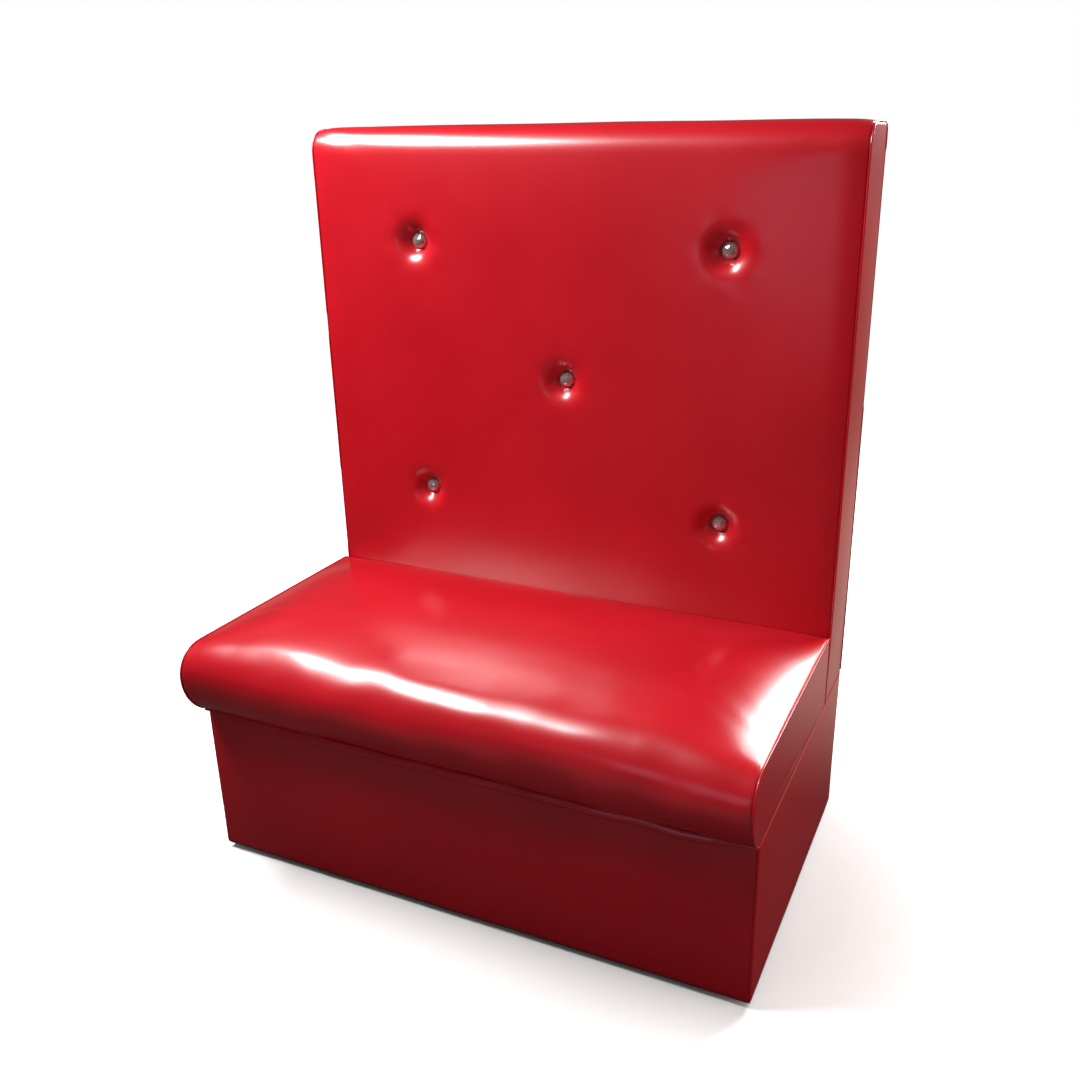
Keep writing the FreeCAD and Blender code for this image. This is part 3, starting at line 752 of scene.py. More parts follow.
def build_seat():
    """The seat: a bullnosed block with a crowned top and flat sewn ends."""
    high = SEAT_HIGH.copy()
    high.z = seat_edge()
    piece = padded_block("seat_cushion", SEAT_LOW, high)
    points = points_of(piece)
    shape_nose(points)
    move_points(piece, points)
    crease_edges(piece, on_ends, SEAM_CREASE)
    raise_crown(points)
    move_points(piece, points)
    swell(piece, sewn(points, SEAT_LOW, SEAT_HIGH), sizes().seat_fill)
    smooth_cover(piece)
    ripple_seat(piece)
    press_fold(piece)
    shade_smooth(piece)
    finish_cover(piece, "seat_cover", "seat_foam")


# Base.

CORNER_STEPS = 4
FACING_SHARE = 0.99


def on_base_front(vert):
    return vert.co.y < BASE_LOW.y + TINY


def on_base_rear(vert):
    return vert.co.y > BASE_HIGH.y - TINY


def on_base_top(vert):
    return vert.co.z > BASE_HIGH.z - TINY


def where_two_meet(edge, *tests):
    """Whether an edge lies on two of the sides that the tests name."""
    return sum(all(map(test, edge.verts)) for test in tests) > 1


def on_soft_corner(edge):
    """An edge of the base's front uprights, or of its top in front of the back."""
    if max(vert.co.y for vert in edge.verts) > BACK_LOW.y:
        return False
    return where_two_meet(edge, on_side, on_base_front, on_base_top)


def on_joint(edge):
    """An edge round the base's top or rear, where the back and the rear cloth meet it."""
    def under_back(vert):
        return on_base_top(vert) and vert.co.y > BACK_LOW.y

    return where_two_meet(edge, on_side, on_base_rear, under_back)


def soften_corners(piece):
    edit(piece)
    pick(piece, "edges", on_soft_corner)
    bpy.ops.mesh.bevel(
        offset=sizes().base_corner, offset_type="OFFSET", segments=CORNER_STEPS, profile=0.5
    )
    leave_edit()


def open_face(piece, axis, sign):
    """Opens a side of the base, leaving the strip of cover that is turned in over it."""
    strip = Vector((1, 1, 1)) * sizes().turn_in
    low, high = BASE_LOW + strip, BASE_HIGH - strip
    across = [way for way in range(3) if way != axis]

    def inner(face):
        if face.normal[axis] * sign < FACING_SHARE:
            return False
        middle = face.calc_center_median()
        return all(low[way] < middle[way] < high[way] for way in across)

    edit(piece)
    pick(piece, "faces", inner)
    bpy.ops.mesh.delete(type="FACE")
    leave_edit()


def tacked(points):
    """Marks the edges, the rear and the front corners of the base, where its cover is held."""
    corner = sizes().base_corner
    edges = (points[:, 2] < BASE_LOW.z + TINY) | (points[:, 2] > BASE_HIGH.z - corner)
    rear = points[:, 1] > BASE_HIGH.y - TINY
    uprights = (from_ends(points) < corner) & (points[:, 1] < BASE_LOW.y + corner)
    return edges | rear | uprights


def build_base():
    """The base: a plain wrap of vinyl over thin padding, with soft corners and turned-in edges."""
    piece = padded_block("base_wrap", BASE_LOW, BASE_HIGH)
    for axis, sign in ((2, -1), (2, 1), (1, 1)):
        open_face(piece, axis, sign)
    crease_edges(piece, on_joint, 1)
    soften_corners(piece)
    swell(piece, tacked(points_of(piece)), sizes().base_fill)
    smooth_cover(piece)
    ripple(piece, np.ones(len(piece.data.vertices)), *BASE_RIPPLE)
    apply_modifier(piece, "SOLIDIFY", thickness=sizes().vinyl, offset=-1)
    shade_smooth(piece)
    finish_cover(piece, "base_cover", "base_padding")


# Seams and stitches.

# Angles of a round in Y and Z, in degrees from +Y towards +Z.
REARWARD, UPWARD, FRONTWARD = 0, 90, 180
LONG_ROUND_STEPS = 12
SHORT_ROUND_STEPS = 8


def arc(centre, radius, start, end, steps):
    """Points of a round in Y and Z between two angles."""
    angles = [math.radians(start + (end - start) * step / steps) for step in range(steps + 1)]
    return [(centre[0] + radius * math.cos(a), centre[1] + radius * math.sin(a)) for a in angles]


def spaced(points, spacing):
    """Points along a line at an even spacing."""
    points = [Vector(point) for point in points]
    runs = [(after - before).length for before, after in zip(points, points[1:])]
    total = sum(runs)
    count = max(2, round(total / spacing))
    found = []
    for step in range(count + 1):
        left = total * step / count
        index = 0
        while index < len(runs) - 1 and left > runs[index]:
            left -= runs[index]
            index += 1
        found.append(points[index].lerp(points[index + 1], min(1, left / runs[index])))
    return found


# Where the seams begin and end, from the edges that they run between.
BACK_SEAM_TUCK = 20 * MM
BACK_SEAM_FOOT = 4 * MM
SEAT_SEAM_GAP = 2 * MM
BASE_SEAM_FOOT = 3 * MM
BASE_SEAM_HEAD = 6 * MM


def back_outline(x):
    """The end seam of the back, from the seat up the front, over the roll and down the rear."""
    roll, turn, drop = sizes().roll, sizes().rear_roll, sizes().edge_drop
    front = (BACK_LOW.y + roll, BACK_HIGH.z - roll)
    rear = (BACK_HIGH.y - turn, BACK_HIGH.z - turn)
    outline = [(BACK_LOW.y + drop, seat_edge() - BACK_SEAM_TUCK)]
    outline += arc(front, roll - drop, FRONTWARD, UPWARD, LONG_ROUND_STEPS)
    outline += arc(rear, turn - drop / 2, UPWARD, REARWARD, SHORT_ROUND_STEPS)
    outline.append((BACK_HIGH.y, BACK_LOW.z + BACK_SEAM_FOOT))
    return [(x, y, z) for y, z in outline]


def seat_outline(x):
    """The end seam of the seat, from the back along the top and round the nose."""
    nose, edge = sizes().nose, seat_edge()
    outline = [(SEAT_HIGH.y - SEAT_SEAM_GAP, edge)]
    outline += arc((SEAT_LOW.y + nose, edge - nose), nose, UPWARD, FRONTWARD, LONG_ROUND_STEPS)
    radius, drop = tuck_round()
    end = FRONTWARD + math.degrees(math.asin(drop / radius))
    outline += arc((SEAT_LOW.y + radius, edge - nose), radius, FRONTWARD, end, SHORT_ROUND_STEPS)
    return [(x, y, z) for y, z in outline]


def base_corner_line(x):
    """The seam up a front corner of the base."""
    return [(x, BASE_LOW.y, BASE_LOW.z + BASE_SEAM_FOOT), (x, BASE_LOW.y, BASE_HIGH.z - BASE_SEAM_HEAD)]


def drawn_line(name, points):
    """A line drawn point by point, as by extruding one vertex."""
    deselect()
    bpy.ops.mesh.primitive_plane_add(size=MM)
    piece = named(name)
    bpy.ops.object.mode_set(mode="EDIT")
    bpy.ops.mesh.select_mode(type="VERT")
    bpy.ops.mesh.select_all(action="SELECT")
    bpy.ops.mesh.merge(type="CENTER")
    bpy.ops.transform.translate(value=points[0])
    for before, after in zip(points, points[1:]):
        bpy.ops.mesh.extrude_region_move(TRANSFORM_OT_translate={"value": after - before})
    leave_edit()
    return piece


SECTION_STEPS = 2


def round_section(piece, radius):
    """Gives a drawn line a round section."""
    name = piece.name
    take(piece)
    bpy.ops.object.convert(target="CURVE")
    piece.data.bevel_depth = radius
    piece.data.bevel_resolution = SECTION_STEPS
    piece.data.use_fill_caps = True
    bpy.ops.object.convert(target="MESH")
    piece.name = name
    shade_smooth(piece)
    return piece


SEAM_STEP = 9 * MM
SEAM_LIFT_SHARE = 0.25


def raised_seam(name, outline, target):
    """A sewn ridge: a line laid on its cushion and given a round section."""
    radius = sizes().seam
    piece = drawn_line(name, spaced(outline, SEAM_STEP))
    apply_modifier(
        piece, "SHRINKWRAP", target=target, wrap_method="NEAREST_SURFACEPOINT",
        offset=radius * SEAM_LIFT_SHARE,
    )
    return round_section(piece, radius)


HEM_FORWARD = 5 * MM
HEM_DROP = 3 * MM
HEM_GATHER_SHARES = (0.5, 0.45)
HEM_OTHER_WAVES = Vector((0, 7, 0))
HEM_TILT = math.radians(25)
HEM_FLAT_SHARES = (0.55, 1.5)
HEM_END_SHARE = 0.3


def hem_fullness(x):
    """Share of the hem's full size at a place along it: it narrows to its ends."""
    return min(1, max(HEM_END_SHARE, (HALF_WIDTH - abs(x)) / sizes().hem_wave))


def hem_centre(x):
    """Middle of the hem at a place along the foot of the nose, as (y, z), gathered so that it waves."""
    place = Vector((x / sizes().hem_wave, 0, 0))
    full = hem_fullness(x)
    out, up = (share * sizes().hem for share in HEM_GATHER_SHARES)
    y = SEAT_LOW.y + sizes().tuck - full * (HEM_FORWARD + out * noise.noise(place))
    z = SEAT_LOW.z - full * (HEM_DROP - up * noise.noise(place + HEM_OTHER_WAVES))
    return y, z


def flatten_hem(points):
    """Presses the hem's round section to a lip that hangs and leans forward."""
    centres = np.array([hem_centre(x) for x in points[:, 0]])
    full = np.array([hem_fullness(x) for x in points[:, 0]])
    facing = np.array((-math.cos(HEM_TILT), math.sin(HEM_TILT)))
    along = np.array((math.sin(HEM_TILT), math.cos(HEM_TILT)))
    offsets = points[:, 1:] - centres
    thin, tall = HEM_FLAT_SHARES
    flat = np.outer(offsets @ facing * thin, facing) + np.outer(offsets @ along * tall, along)
    points[:, 1:] = centres + flat * full[:, None]
    points[:, 0] = np.clip(points[:, 0], -HALF_WIDTH, HALF_WIDTH)


def build_hem():
    """The hem of the seat cover: a cord of vinyl along the foot of the nose, flattened to a lip."""
    line = spaced([(-HALF_WIDTH, 0, 0), (HALF_WIDTH, 0, 0)], SEAM_STEP)
    line = [Vector((point.x, *hem_centre(point.x))) for point in line]
    piece = round_section(drawn_line("hem", line), sizes().hem)
    points = points_of(piece)
    flatten_hem(points)
    move_points(piece, points)
    return piece


def join(name, pieces):
    deselect()
    for piece in pieces:
        piece.select_set(True)
    bpy.context.view_layer.objects.active = pieces[0]
    bpy.ops.object.join()
    return named(name)


def build_seams():
    """The raised seams: round the ends of the back and the seat, the hem, and up the base's corners."""
    groups = (
        ("back_seams", "back_cushion", back_outline),
        ("seat_seams", "seat_cushion", seat_outline),
        ("base_seams", "base_wrap", base_corner_line),
    )
    for name, target, outline in groups:
        cushion = bpy.data.objects[target]
        lines = [raised_seam(name, outline(x), cushion) for x in (-HALF_WIDTH, HALF_WIDTH)]
        if target == "seat_cushion":
            lines.append(build_hem())
        finish_cover(join(name, lines))


STITCH_SIDES = 8
STITCH_RINGS = 5
STITCH_DIP_SHARE = 0.5
STITCH_LIFT_SHARE = 1 / 3
MIDDLE_RING_SHARE = 0.001


def one_stitch():
    """A stitch lying along X: a short strand with rounded ends that dips at both."""
    thread = sizes().thread
    deselect()
    bpy.ops.mesh.primitive_uv_sphere_add(
        segments=STITCH_SIDES, ring_count=STITCH_RINGS, radius=thread, rotation=(0, math.pi / 2, 0)
    )
    piece = named("stitch")
    apply_place()
    points = points_of(piece)
    half = sizes().stitch / 2 - thread
    in_middle = np.abs(points[:, 0]) < thread * MIDDLE_RING_SHARE
    ends = np.where(in_middle, 0, np.sign(points[:, 0]))
    points[:, 0] += ends * half
    points[:, 2] -= thread * (points[:, 0] / half) ** 2 * STITCH_DIP_SHARE
    move_points(piece, points)
    shade_smooth(piece)
    return piece


def placed(master, matrices, name):
    """Copies of a master, each with its own mesh, joined as one piece."""
    made = []
    for matrix in matrices:
        copy = master.copy()
        copy.data = master.data.copy()
        copy.data.transform(matrix)
        bpy.context.scene.collection.objects.link(copy)
        made.append(copy)
    bpy.data.objects.remove(master)
    return join(name, made)


def on_surface(cushion, point, way, lift):
    """A place on a cushion, with X along a line and Z out of the cover."""
    found, spot, normal, face = cushion.closest_point_on_mesh(point)
    if not found:
        raise RuntimeError("no cushion under a stitch")
    side = normal.cross(way).normalized()
    along = side.cross(normal)
    axes = Matrix((along, side, normal)).transposed().to_4x4()
    return Matrix.Translation(spot + normal * lift) @ axes


def build_stitches():
    """A row of stitches beside each end seam of the seat."""
    cushion = bpy.data.objects["seat_cushion"]
    lift = sizes().thread * STITCH_LIFT_SHARE
    matrices = []
    for sign in (-1, 1):
        x = sign * (HALF_WIDTH - sizes().stitch_inset)
        line = spaced(seat_outline(x), sizes().stitch_gap)
        for before, after in zip(line, line[1:]):
            matrices.append(on_surface(cushion, (before + after) / 2, after - before, lift))
    piece = placed(one_stitch(), matrices, "seat_stitches")
    finish_piece(piece, material_of(sewing_thread), "red_vinyl")


# Buttons.

STONE_SIDES = 8
STONE_FLAT = math.radians(1)
STONE_RINGS = (
    # radius share, depth share from cup floor to table, half turns of a side, sides per facet
    (1.0, 0.0, 0, 2),
    (1.0, 0.3, 0, 2),
    (0.86, 0.6, 1, 1),
    (0.6, 0.86, 0, 1),
    (0.33, 1.0, 1, 1),
)


def one_stone():
    """A brilliant-cut crystal with its front towards +Z and its seat at the origin."""
    depth = STONES_HIGH.y - STONES_LOW.y
    radius = sizes().stone
    deselect()
    bpy.ops.mesh.primitive_circle_add(vertices=STONE_SIDES, radius=radius)
    piece = named("stone")
    bpy.ops.object.mode_set(mode="EDIT")
    bpy.ops.mesh.delete(type="VERT")
    for share, rise_share, half_turns, double in STONE_RINGS:
        bpy.ops.mesh.primitive_circle_add(
            vertices=STONE_SIDES * double, radius=radius * share, location=(0, 0, depth * rise_share),
            rotation=(0, 0, half_turns * math.pi / STONE_SIDES),
        )
    bpy.ops.mesh.select_all(action="SELECT")
    bpy.ops.mesh.convex_hull()
    bpy.ops.mesh.select_all(action="SELECT")
    bpy.ops.mesh.dissolve_limited(angle_limit=STONE_FLAT)
    leave_edit()
    return piece


CUP_RIM = 1.5 * MM
CUP_GAP = 0.15 * MM
CUP_WALL = 1 * MM
CUP_HOLE_SHARE = 0.02
CUP_STEPS = 40
CUP_SMOOTH = math.radians(40)


def cup_profile():
    """Half the section of a cup, as (radius, height), from its floor over its rim to its underside."""
    outer = sizes().stone + CUP_RIM
    inner = sizes().stone + CUP_GAP
    hole = inner * CUP_HOLE_SHARE
    depth = CUPS_HIGH.y - CUPS_LOW.y
    wall = CUP_WALL
    return [
        (hole, wall), (inner, wall), (inner, depth - wall / 2), (inner + wall / 2, depth),
        (outer - wall / 4, depth - wall / 4), (outer, depth - wall), (outer, 0), (hole, 0),
    ]


def one_cup():
    """A turned cup with a rolled rim, its front towards +Z before it is placed."""
    piece = drawn_line("cup", [Vector((radius, 0, z)) for radius, z in cup_profile()])
    edit(piece)
    bpy.ops.mesh.select_all(action="SELECT")
    bpy.ops.mesh.spin(steps=CUP_STEPS, angle=2 * math.pi, center=(0, 0, 0), axis=(0, 0, 1))
    bpy.ops.mesh.select_all(action="SELECT")
    bpy.ops.mesh.remove_doubles(threshold=TINY)
    bpy.ops.mesh.normals_make_consistent(inside=False)
    leave_edit()
    take(piece)
    bpy.ops.object.shade_smooth_by_angle(angle=CUP_SMOOTH)
    return piece


def button_places(y):
    """Turns +Z to the bench's front and moves to each button."""
    turn = Matrix.Rotation(math.pi / 2, 4, "X")
    return [Matrix.Translation((x, y, z)) @ turn for x, z in tuft_places()]


def build_crystals():
    stones = placed(one_stone(), button_places(STONES_HIGH.y), "crystals")
    finish_piece(stones, material_of(cut_glass), "crystal", "button_crystals")


def build_cups():
    cups = placed(one_cup(), button_places(CUPS_HIGH.y), "crystal_cups")
    finish_piece(cups, material_of(bright_plating), "button_metal", "button_cups")


# Rear lining.

LINING_CELLS = (110, 138)
LINING_INSET = 0.3 * MM
LINING_THICKNESS = 0.4 * MM
LINING_SLACK = 2.4 * MM
LINING_SLACK_RUN = 80 * MM
LINING_WAVE = 75 * MM
LINING_FALL = 420 * MM
LINING_NOISE_PLACE = 4
LINING_PULL = 1.4 * MM
LINING_PULL_RUN = 45 * MM
STAPLE_INSET = 7 * MM
STAPLE_WIRE = 1.1 * MM


def flat_cloth(width, tall):
    """A fine grid over the rear that faces backwards."""
    columns, rows = LINING_CELLS
    deselect()
    bpy.ops.mesh.primitive_grid_add(
        x_subdivisions=columns, y_subdivisions=rows, size=1, rotation=(math.pi / 2, 0, 0)
    )
    piece = named("rear_cloth")
    middle = (LINING_LOW + LINING_HIGH) / 2
    piece.location = (middle.x, LINING_HIGH.y - LINING_INSET, middle.z)
    piece.scale = (width, tall, 1)
    apply_place()
    edit(piece)
    bpy.ops.mesh.select_all(action="SELECT")
    bpy.ops.mesh.flip_normals()
    leave_edit()
    return piece


def slacken(points):
    """Lets the cloth wave between its edges, and pulls it in at each staple."""
    side = np.minimum(points[:, 0] - LINING_LOW.x, LINING_HIGH.x - points[:, 0])
    end = np.minimum(points[:, 2] - LINING_LOW.z, LINING_HIGH.z - points[:, 2])
    inward = np.minimum(side, end)
    places = [Vector((x / LINING_WAVE, LINING_NOISE_PLACE, z / LINING_FALL)) for x, y, z in points]
    waves = np.array([noise.noise(place) for place in places])
    along = np.where(side < end, points[:, 2] - LINING_LOW.z, points[:, 0] - LINING_LOW.x)
    pulls = 1 - np.cos(2 * np.pi * (along - STAPLE_INSET) / sizes().staple_gap)
    pulled = pulls * np.exp(-inward / LINING_PULL_RUN) * risen(inward, STAPLE_INSET)
    slack = (waves + 1) * risen(inward, LINING_SLACK_RUN)
    points[:, 1] += slack * LINING_SLACK + pulled * LINING_PULL


def build_lining():
    """Black cloth pulled over the rear and stapled along its edges."""
    width = LINING_HIGH.x - LINING_LOW.x
    tall = LINING_HIGH.z - LINING_LOW.z
    piece = flat_cloth(width, tall)
    points = points_of(piece)
    slacken(points)
    move_points(piece, points)
    apply_modifier(piece, "SOLIDIFY", thickness=LINING_THICKNESS, offset=-1)
    shade_smooth(piece)
    finish_piece(piece, material_of(lining_cloth), "lining_cloth", "rear_lining")


def one_staple():
    """A wire staple lying along X with rounded shoulders, its back towards +Z."""
    half, wire = sizes().staple / 2, STAPLE_WIRE
    piece = add_block("staple", Vector((-half, -wire / 2, -wire)), Vector((half, wire / 2, wire / 2)))
    apply_modifier(piece, "BEVEL", width=wire / 3, segments=2)
    return piece


def build_staples():
    """A ring of staples just inside the cloth's edges."""
    x0, x1 = LINING_LOW.x + STAPLE_INSET, LINING_HIGH.x - STAPLE_INSET
    z0, z1 = LINING_LOW.z + STAPLE_INSET, LINING_HIGH.z - STAPLE_INSET
    ring = [(x0, 0, z0), (x1, 0, z0), (x1, 0, z1), (x0, 0, z1), (x0, 0, z0)]
    turn = Matrix.Rotation(-math.pi / 2, 4, "X")
    matrices = []
    for first, second in zip(ring, ring[1:]):
        upright = first[0] == second[0]
        tilt = Matrix.Rotation(math.pi / 2 if upright else 0, 4, "Y")
        for point in spaced([first, second], sizes().staple_gap)[:-1]:
            matrices.append(Matrix.Translation((point.x, LINING_HIGH.y, point.z)) @ tilt @ turn)
    piece = placed(one_staple(), matrices, "lining_staples")
    finish_piece(piece, material_of(zinc_plate), "zinc_steel")


# CAD pieces that stay.

PLYWOOD_BAND = 24 * MM
PINE_RING = 16 * MM
GRAIN_ALONG_X = (0.15, 1, 1)
GRAIN_ALONG_Z = (1, 1, 0.15)


def dress_frame():
    """Finishes the CAD pieces that keep their own shape, by their material slot."""
    tints = colours()
    by_slot = {
        "plywood": material_of(wood, "birch_plywood", tints.plywood, PLYWOOD_BAND, GRAIN_ALONG_X),
        "timber": material_of(wood, "sawn_pine", tints.timber, PINE_RING, GRAIN_ALONG_Z),
        "black_plastic": material_of(moulded_plastic),
        "zinc_steel": material_of(zinc_plate),
        "twine": material_of(waxed_twine),
    }
    for row in frame["record"]["subparts"]:
        material = by_slot.get(row["material_slot"])
        if material:
            node = frame["nodes"][row["node"]]
            node.data.materials.clear()
            node.data.materials.append(material)


# Stage.

CAMERA_PLACE = (0.834, -1.602, 1.310)
CAMERA_YAW = math.radians(24.278)
CAMERA_PITCH = math.radians(20.423)
CAMERA_ROLL = math.radians(-0.526)
CAMERA_LENS = 35.02
CAMERA_SHIFT = (-0.0349, -0.0054)


def add_camera():
    """The camera that was fitted to the photograph's corners."""
    forward = Vector((
        -math.sin(CAMERA_YAW) * math.cos(CAMERA_PITCH),
        math.cos(CAMERA_YAW) * math.cos(CAMERA_PITCH),
        -math.sin(CAMERA_PITCH),
    ))
    level = Vector((math.cos(CAMERA_YAW), math.sin(CAMERA_YAW), 0))
    upward = level.cross(forward)
    right = level * math.cos(CAMERA_ROLL) + upward * math.sin(CAMERA_ROLL)
    up = upward * math.cos(CAMERA_ROLL) - level * math.sin(CAMERA_ROLL)
    data = bpy.data.cameras.new("camera")
    data.lens = CAMERA_LENS
    data.shift_x, data.shift_y = CAMERA_SHIFT
    camera = bpy.data.objects.new("camera", data)
    axes = Matrix((right, up, -forward)).transposed().to_4x4()
    camera.matrix_world = Matrix.Translation(CAMERA_PLACE) @ axes
    bpy.context.scene.collection.objects.link(camera)
    bpy.context.scene.camera = camera


LAMPS = (
    # name, place, aimed at, width, height, watts, colour, whether the gloss mirrors it
    ("key_softbox", (-1.2, -0.55, 2.4), (0.0, 0.0, 0.7), 1.2, 0.6, 90, "#FFFFFF", True),
    ("rear_window", (1.2, 2.0, 2.0), (0.45, -0.1, 0.45), 1.2, 1.0, 80, "#FFFFFF", True),
    ("front_card", (-0.21, -3.2, 1.0), (0.44, 0.18, 1.16), 0.65, 0.85, 2.0, "#DDE2FF", True),
    ("side_fill", (3.0, -0.5, 1.2), (0.5, 0.0, 0.5), 1.5, 1.5, 26, "#FFF4E8", False),
    ("floor_bounce", (0.0, -1.1, 0.02), (0.0, -1.1, 1.0), 1.6, 0.8, 3, "#FFFFFF", False),
)


def add_lamps():
    for name, place, target, width, height, watts, code, mirrored in LAMPS:
        data = bpy.data.lights.new(name, "AREA")
        data.shape = "RECTANGLE"
        data.size, data.size_y = width, height
        data.energy = watts
        data.color = linear(code)
        lamp = bpy.data.objects.new(name, data)
        aim = Vector(target) - Vector(place)
        turn = aim.to_track_quat("-Z", "Y").to_matrix().to_4x4()
        lamp.matrix_world = Matrix.Translation(place) @ turn
        lamp.visible_camera = False
        lamp.visible_glossy = mirrored
        bpy.context.scene.collection.objects.link(lamp)


def seen_rays(tree):
    """1 for rays from the camera and through glass, and 0 for the rest."""
    path = add_node(tree, "LightPath").outputs
    ways = {0: path["Is Camera Ray"], 1: path["Is Transmission Ray"]}
    return add_node(tree, "Math", ways, operation="MAXIMUM").outputs[0]


WHITE = (1, 1, 1, 1)
WORLD_FILL = 0.14
WORLD_MIRRORED = 0.05


def light_world():
    """A white surround to the eye and through glass, a soft fill to the surfaces, and less to the gloss."""
    world = bpy.data.worlds.new("studio")
    bpy.context.scene.world = world
    world.use_nodes = True
    tree = world.node_tree
    tree.nodes.clear()
    mirrored = {"Value": add_node(tree, "LightPath").outputs["Is Glossy Ray"]}
    fill = add_node(tree, "MapRange", mirrored, {"To Min": WORLD_FILL, "To Max": WORLD_MIRRORED})
    seen = {"Value": seen_rays(tree), "To Min": fill.outputs[0]}
    strength = add_node(tree, "MapRange", seen, {"To Max": 1.0})
    back = add_node(tree, "Background", {"Strength": strength.outputs[0]}, {"Color": WHITE})
    add_node(tree, "OutputWorld", {"Surface": back.outputs[0]})


# Strengths of the floor's light, and the distances in metres over which it changes.
FLOOR_BOUNCE = 0.035
FLOOR_GLOW = 1.0
# The mirrored glow, less its far loss, is a painted reflection: light painted on the floor behind the bench
# and seen only in the gloss.
FLOOR_PAINTED_REFLECTION_GLOW = 0.5
FLOOR_FAR_LOSS = 0.28
FLOOR_POOL = (0.72, 0.52, 1)
FLOOR_POOL_FADE = (0.75, 1.8)
FLOOR_PAINTED_REFLECTION_FADE = (0.3, 1.0)
FLOOR_FAR_FADE = (1.8, 4.0)
FLOOR_CLOUD = 1000 / 3 * MM
FLOOR_SIZE = 80
FLOOR_CELLS = 8


def rising(fade, most):
    """Socket values for a smooth rise from 0 to the most between two distances."""
    near, far = fade
    return {"From Min": near, "From Max": far, "To Max": most}


def painted_floor_reflection(tree, place):
    """A painted reflection: a warm glow painted on the floor behind the bench, brightest close behind it,
    that only the gloss mirrors.
    """
    behind = {"Value": add_node(tree, "SeparateXYZ", {0: place}).outputs["Y"]}
    near = rising(FLOOR_PAINTED_REFLECTION_FADE, FLOOR_PAINTED_REFLECTION_GLOW)
    far = rising(FLOOR_FAR_FADE, FLOOR_FAR_LOSS)
    gain = add_node(tree, "MapRange", behind, near, interpolation_type="SMOOTHSTEP")
    loss = add_node(tree, "MapRange", behind, far, interpolation_type="SMOOTHSTEP")
    both = {0: gain.outputs[0], 1: loss.outputs[0]}
    strength = add_node(tree, "Math", both, operation="SUBTRACT").outputs[0]
    tint = opaque(colours().floor_painted_reflection)
    return add_node(tree, "Emission", {"Strength": strength}, {"Color": tint}).outputs[0]


def seen_floor(tree, place):
    """The floor to the eye: pale paint that glows to white away from the bench and keeps its shadow."""
    clouds = add_node(tree, "TexNoise", {"Vector": place}, {"Scale": 1 / FLOOR_CLOUD, "Detail": 3})
    tone = add_node(tree, "MapRange", {"Value": clouds.outputs["Fac"]}, {"To Min": 0.99, "To Max": 1.0})
    pale = {"Color": opaque(colours().floor), "Fac": 1}
    tint = add_node(tree, "HueSaturation", {"Value": tone.outputs[0]}, pale)
    ring = add_node(tree, "VectorMath", {0: place}, {1: FLOOR_POOL}, operation="DIVIDE")
    away = add_node(tree, "VectorMath", {0: ring.outputs[0]}, operation="LENGTH").outputs["Value"]
    fade = rising(FLOOR_POOL_FADE, FLOOR_GLOW)
    strength = add_node(tree, "MapRange", {"Value": away}, fade, interpolation_type="SMOOTHSTEP")
    glow = add_node(tree, "Emission", {"Strength": strength.outputs[0]}, {"Color": WHITE})
    paint = add_node(tree, "BsdfDiffuse", {"Color": tint.outputs[0]})
    return add_node(tree, "AddShader", {0: paint.outputs[0], 1: glow.outputs[0]}).outputs[0]


def studio_floor():
    """Painted studio floor: matt and pale where it is seen, and dim to the surfaces, but for a painted
    reflection that the gloss sees behind the bench.
    """
    material, tree, place = new_material("studio_floor_paint")
    dull = add_node(tree, "BsdfDiffuse", inputs={"Color": opaque([FLOOR_BOUNCE] * 3)})
    dim = add_node(tree, "AddShader", {0: dull.outputs[0], 1: painted_floor_reflection(tree, place)})
    ways = {"Fac": seen_rays(tree), 1: dim.outputs[0], 2: seen_floor(tree, place)}
    shader = add_node(tree, "MixShader", ways)
    add_node(tree, "OutputMaterial", {"Surface": shader.outputs[0]})
    return material


def add_floor():
    deselect()
    bpy.ops.mesh.primitive_grid_add(
        x_subdivisions=FLOOR_CELLS, y_subdivisions=FLOOR_CELLS, size=FLOOR_SIZE
    )
    floor = named("floor")
    floor.data.materials.append(studio_floor())


def build_stage():
    bpy.context.scene.view_settings.view_transform = "Standard"
    add_camera()
    add_lamps()
    light_world()
    add_floor()


# Operators.

CHANGES = {"REGISTER", "UNDO"}
DONE = {"FINISHED"}


class BENCH_OT_stage(bpy.types.Operator):
    """Add the camera, the lamps, the world and the floor"""
    bl_idname = "bench.stage"
    bl_label = "Stage"
    bl_options = CHANGES

    def execute(self, context):
        build_stage()
        return DONE


class BENCH_OT_back(bpy.types.Operator):
    """Model the tufted back cushion"""
    bl_idname = "bench.back"
    bl_label = "Back cushion"
    bl_options = CHANGES

    def execute(self, context):
        build_back()
        return DONE


class BENCH_OT_seat(bpy.types.Operator):
    """Model the bullnosed seat cushion"""
    bl_idname = "bench.seat"
    bl_label = "Seat cushion"
    bl_options = CHANGES

    def execute(self, context):
        build_seat()
        return DONE


class BENCH_OT_base(bpy.types.Operator):
    """Model the wrap of the base"""
    bl_idname = "bench.base"
    bl_label = "Base wrap"
    bl_options = CHANGES

    def execute(self, context):
        build_base()
        return DONE


class BENCH_OT_seams(bpy.types.Operator):
    """Model the raised seams and the hem"""
    bl_idname = "bench.seams"
    bl_label = "Seams"
    bl_options = CHANGES

    def execute(self, context):
        build_seams()
        return DONE


class BENCH_OT_stitches(bpy.types.Operator):
    """Model the stitches beside the seat's end seams"""
    bl_idname = "bench.stitches"
    bl_label = "Stitches"
    bl_options = CHANGES

    def execute(self, context):
        build_stitches()
        return DONE


class BENCH_OT_crystals(bpy.types.Operator):
    """Model the cut crystals of the buttons"""
    bl_idname = "bench.crystals"
    bl_label = "Crystals"
    bl_options = CHANGES

    def execute(self, context):
        build_crystals()
        return DONE


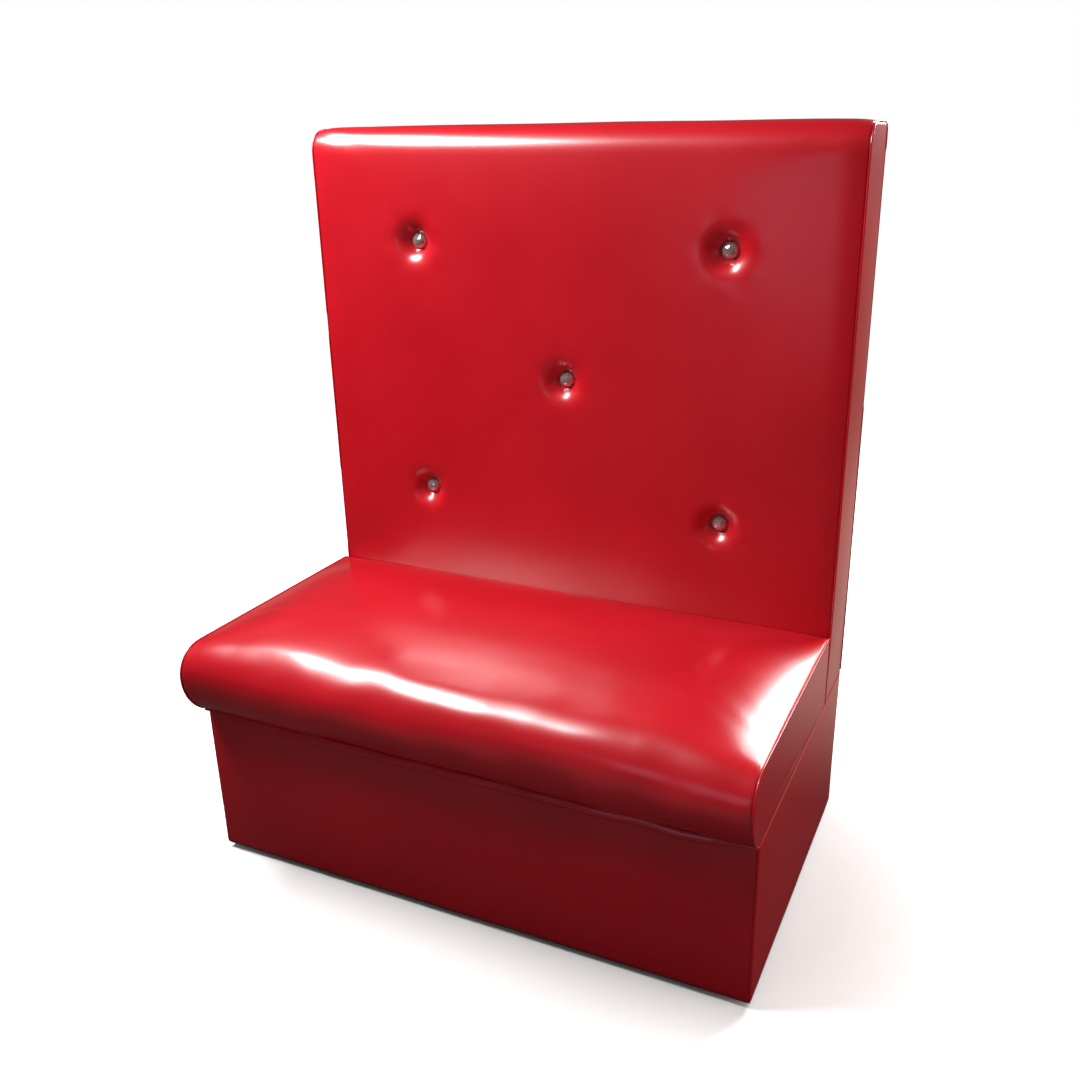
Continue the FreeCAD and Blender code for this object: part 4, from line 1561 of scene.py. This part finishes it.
class BENCH_OT_cups(bpy.types.Operator):
    """Model the cups that hold the crystals"""
    bl_idname = "bench.cups"
    bl_label = "Crystal cups"
    bl_options = CHANGES

    def execute(self, context):
        build_cups()
        return DONE


class BENCH_OT_lining(bpy.types.Operator):
    """Model the cloth behind the back"""
    bl_idname = "bench.lining"
    bl_label = "Rear cloth"
    bl_options = CHANGES

    def execute(self, context):
        build_lining()
        return DONE


class BENCH_OT_staples(bpy.types.Operator):
    """Model the staples along the rear cloth's edges"""
    bl_idname = "bench.staples"
    bl_label = "Staples"
    bl_options = CHANGES

    def execute(self, context):
        build_staples()
        return DONE


class BENCH_OT_frame(bpy.types.Operator):
    """Finish the wooden frame, the glides and the fasteners"""
    bl_idname = "bench.frame"
    bl_label = "Frame finishes"
    bl_options = CHANGES

    def execute(self, context):
        dress_frame()
        return DONE


STEPS = (
    BENCH_OT_stage, BENCH_OT_back, BENCH_OT_seat, BENCH_OT_base, BENCH_OT_seams, BENCH_OT_stitches,
    BENCH_OT_crystals, BENCH_OT_cups, BENCH_OT_lining, BENCH_OT_staples, BENCH_OT_frame,
)


class BENCH_PT_panel(bpy.types.Panel):
    """Lists the steps that build the bench"""
    bl_idname = "BENCH_PT_panel"
    bl_label = "Dining booth bench"
    bl_space_type = "VIEW_3D"
    bl_region_type = "UI"
    bl_category = "Bench"

    def draw(self, context):
        for step in STEPS:
            self.layout.operator(step.bl_idname)


CLASSES = (BenchSizes, BenchColours, *STEPS, BENCH_PT_panel)


def register():
    for item in CLASSES:
        bpy.utils.register_class(item)
    bpy.types.Scene.bench_sizes = PointerProperty(type=BenchSizes)
    bpy.types.Scene.bench_colours = PointerProperty(type=BenchColours)


def unregister():
    del bpy.types.Scene.bench_sizes
    del bpy.types.Scene.bench_colours
    for item in reversed(CLASSES):
        bpy.utils.unregister_class(item)


def main():
    register()
    bpy.ops.bench.stage()
    bpy.ops.bench.back()
    bpy.ops.bench.seat()
    bpy.ops.bench.base()
    bpy.ops.bench.seams()
    bpy.ops.bench.stitches()
    bpy.ops.bench.crystals()
    bpy.ops.bench.cups()
    bpy.ops.bench.lining()
    bpy.ops.bench.staples()
    bpy.ops.bench.frame()


if __name__ == "__main__":
    main()
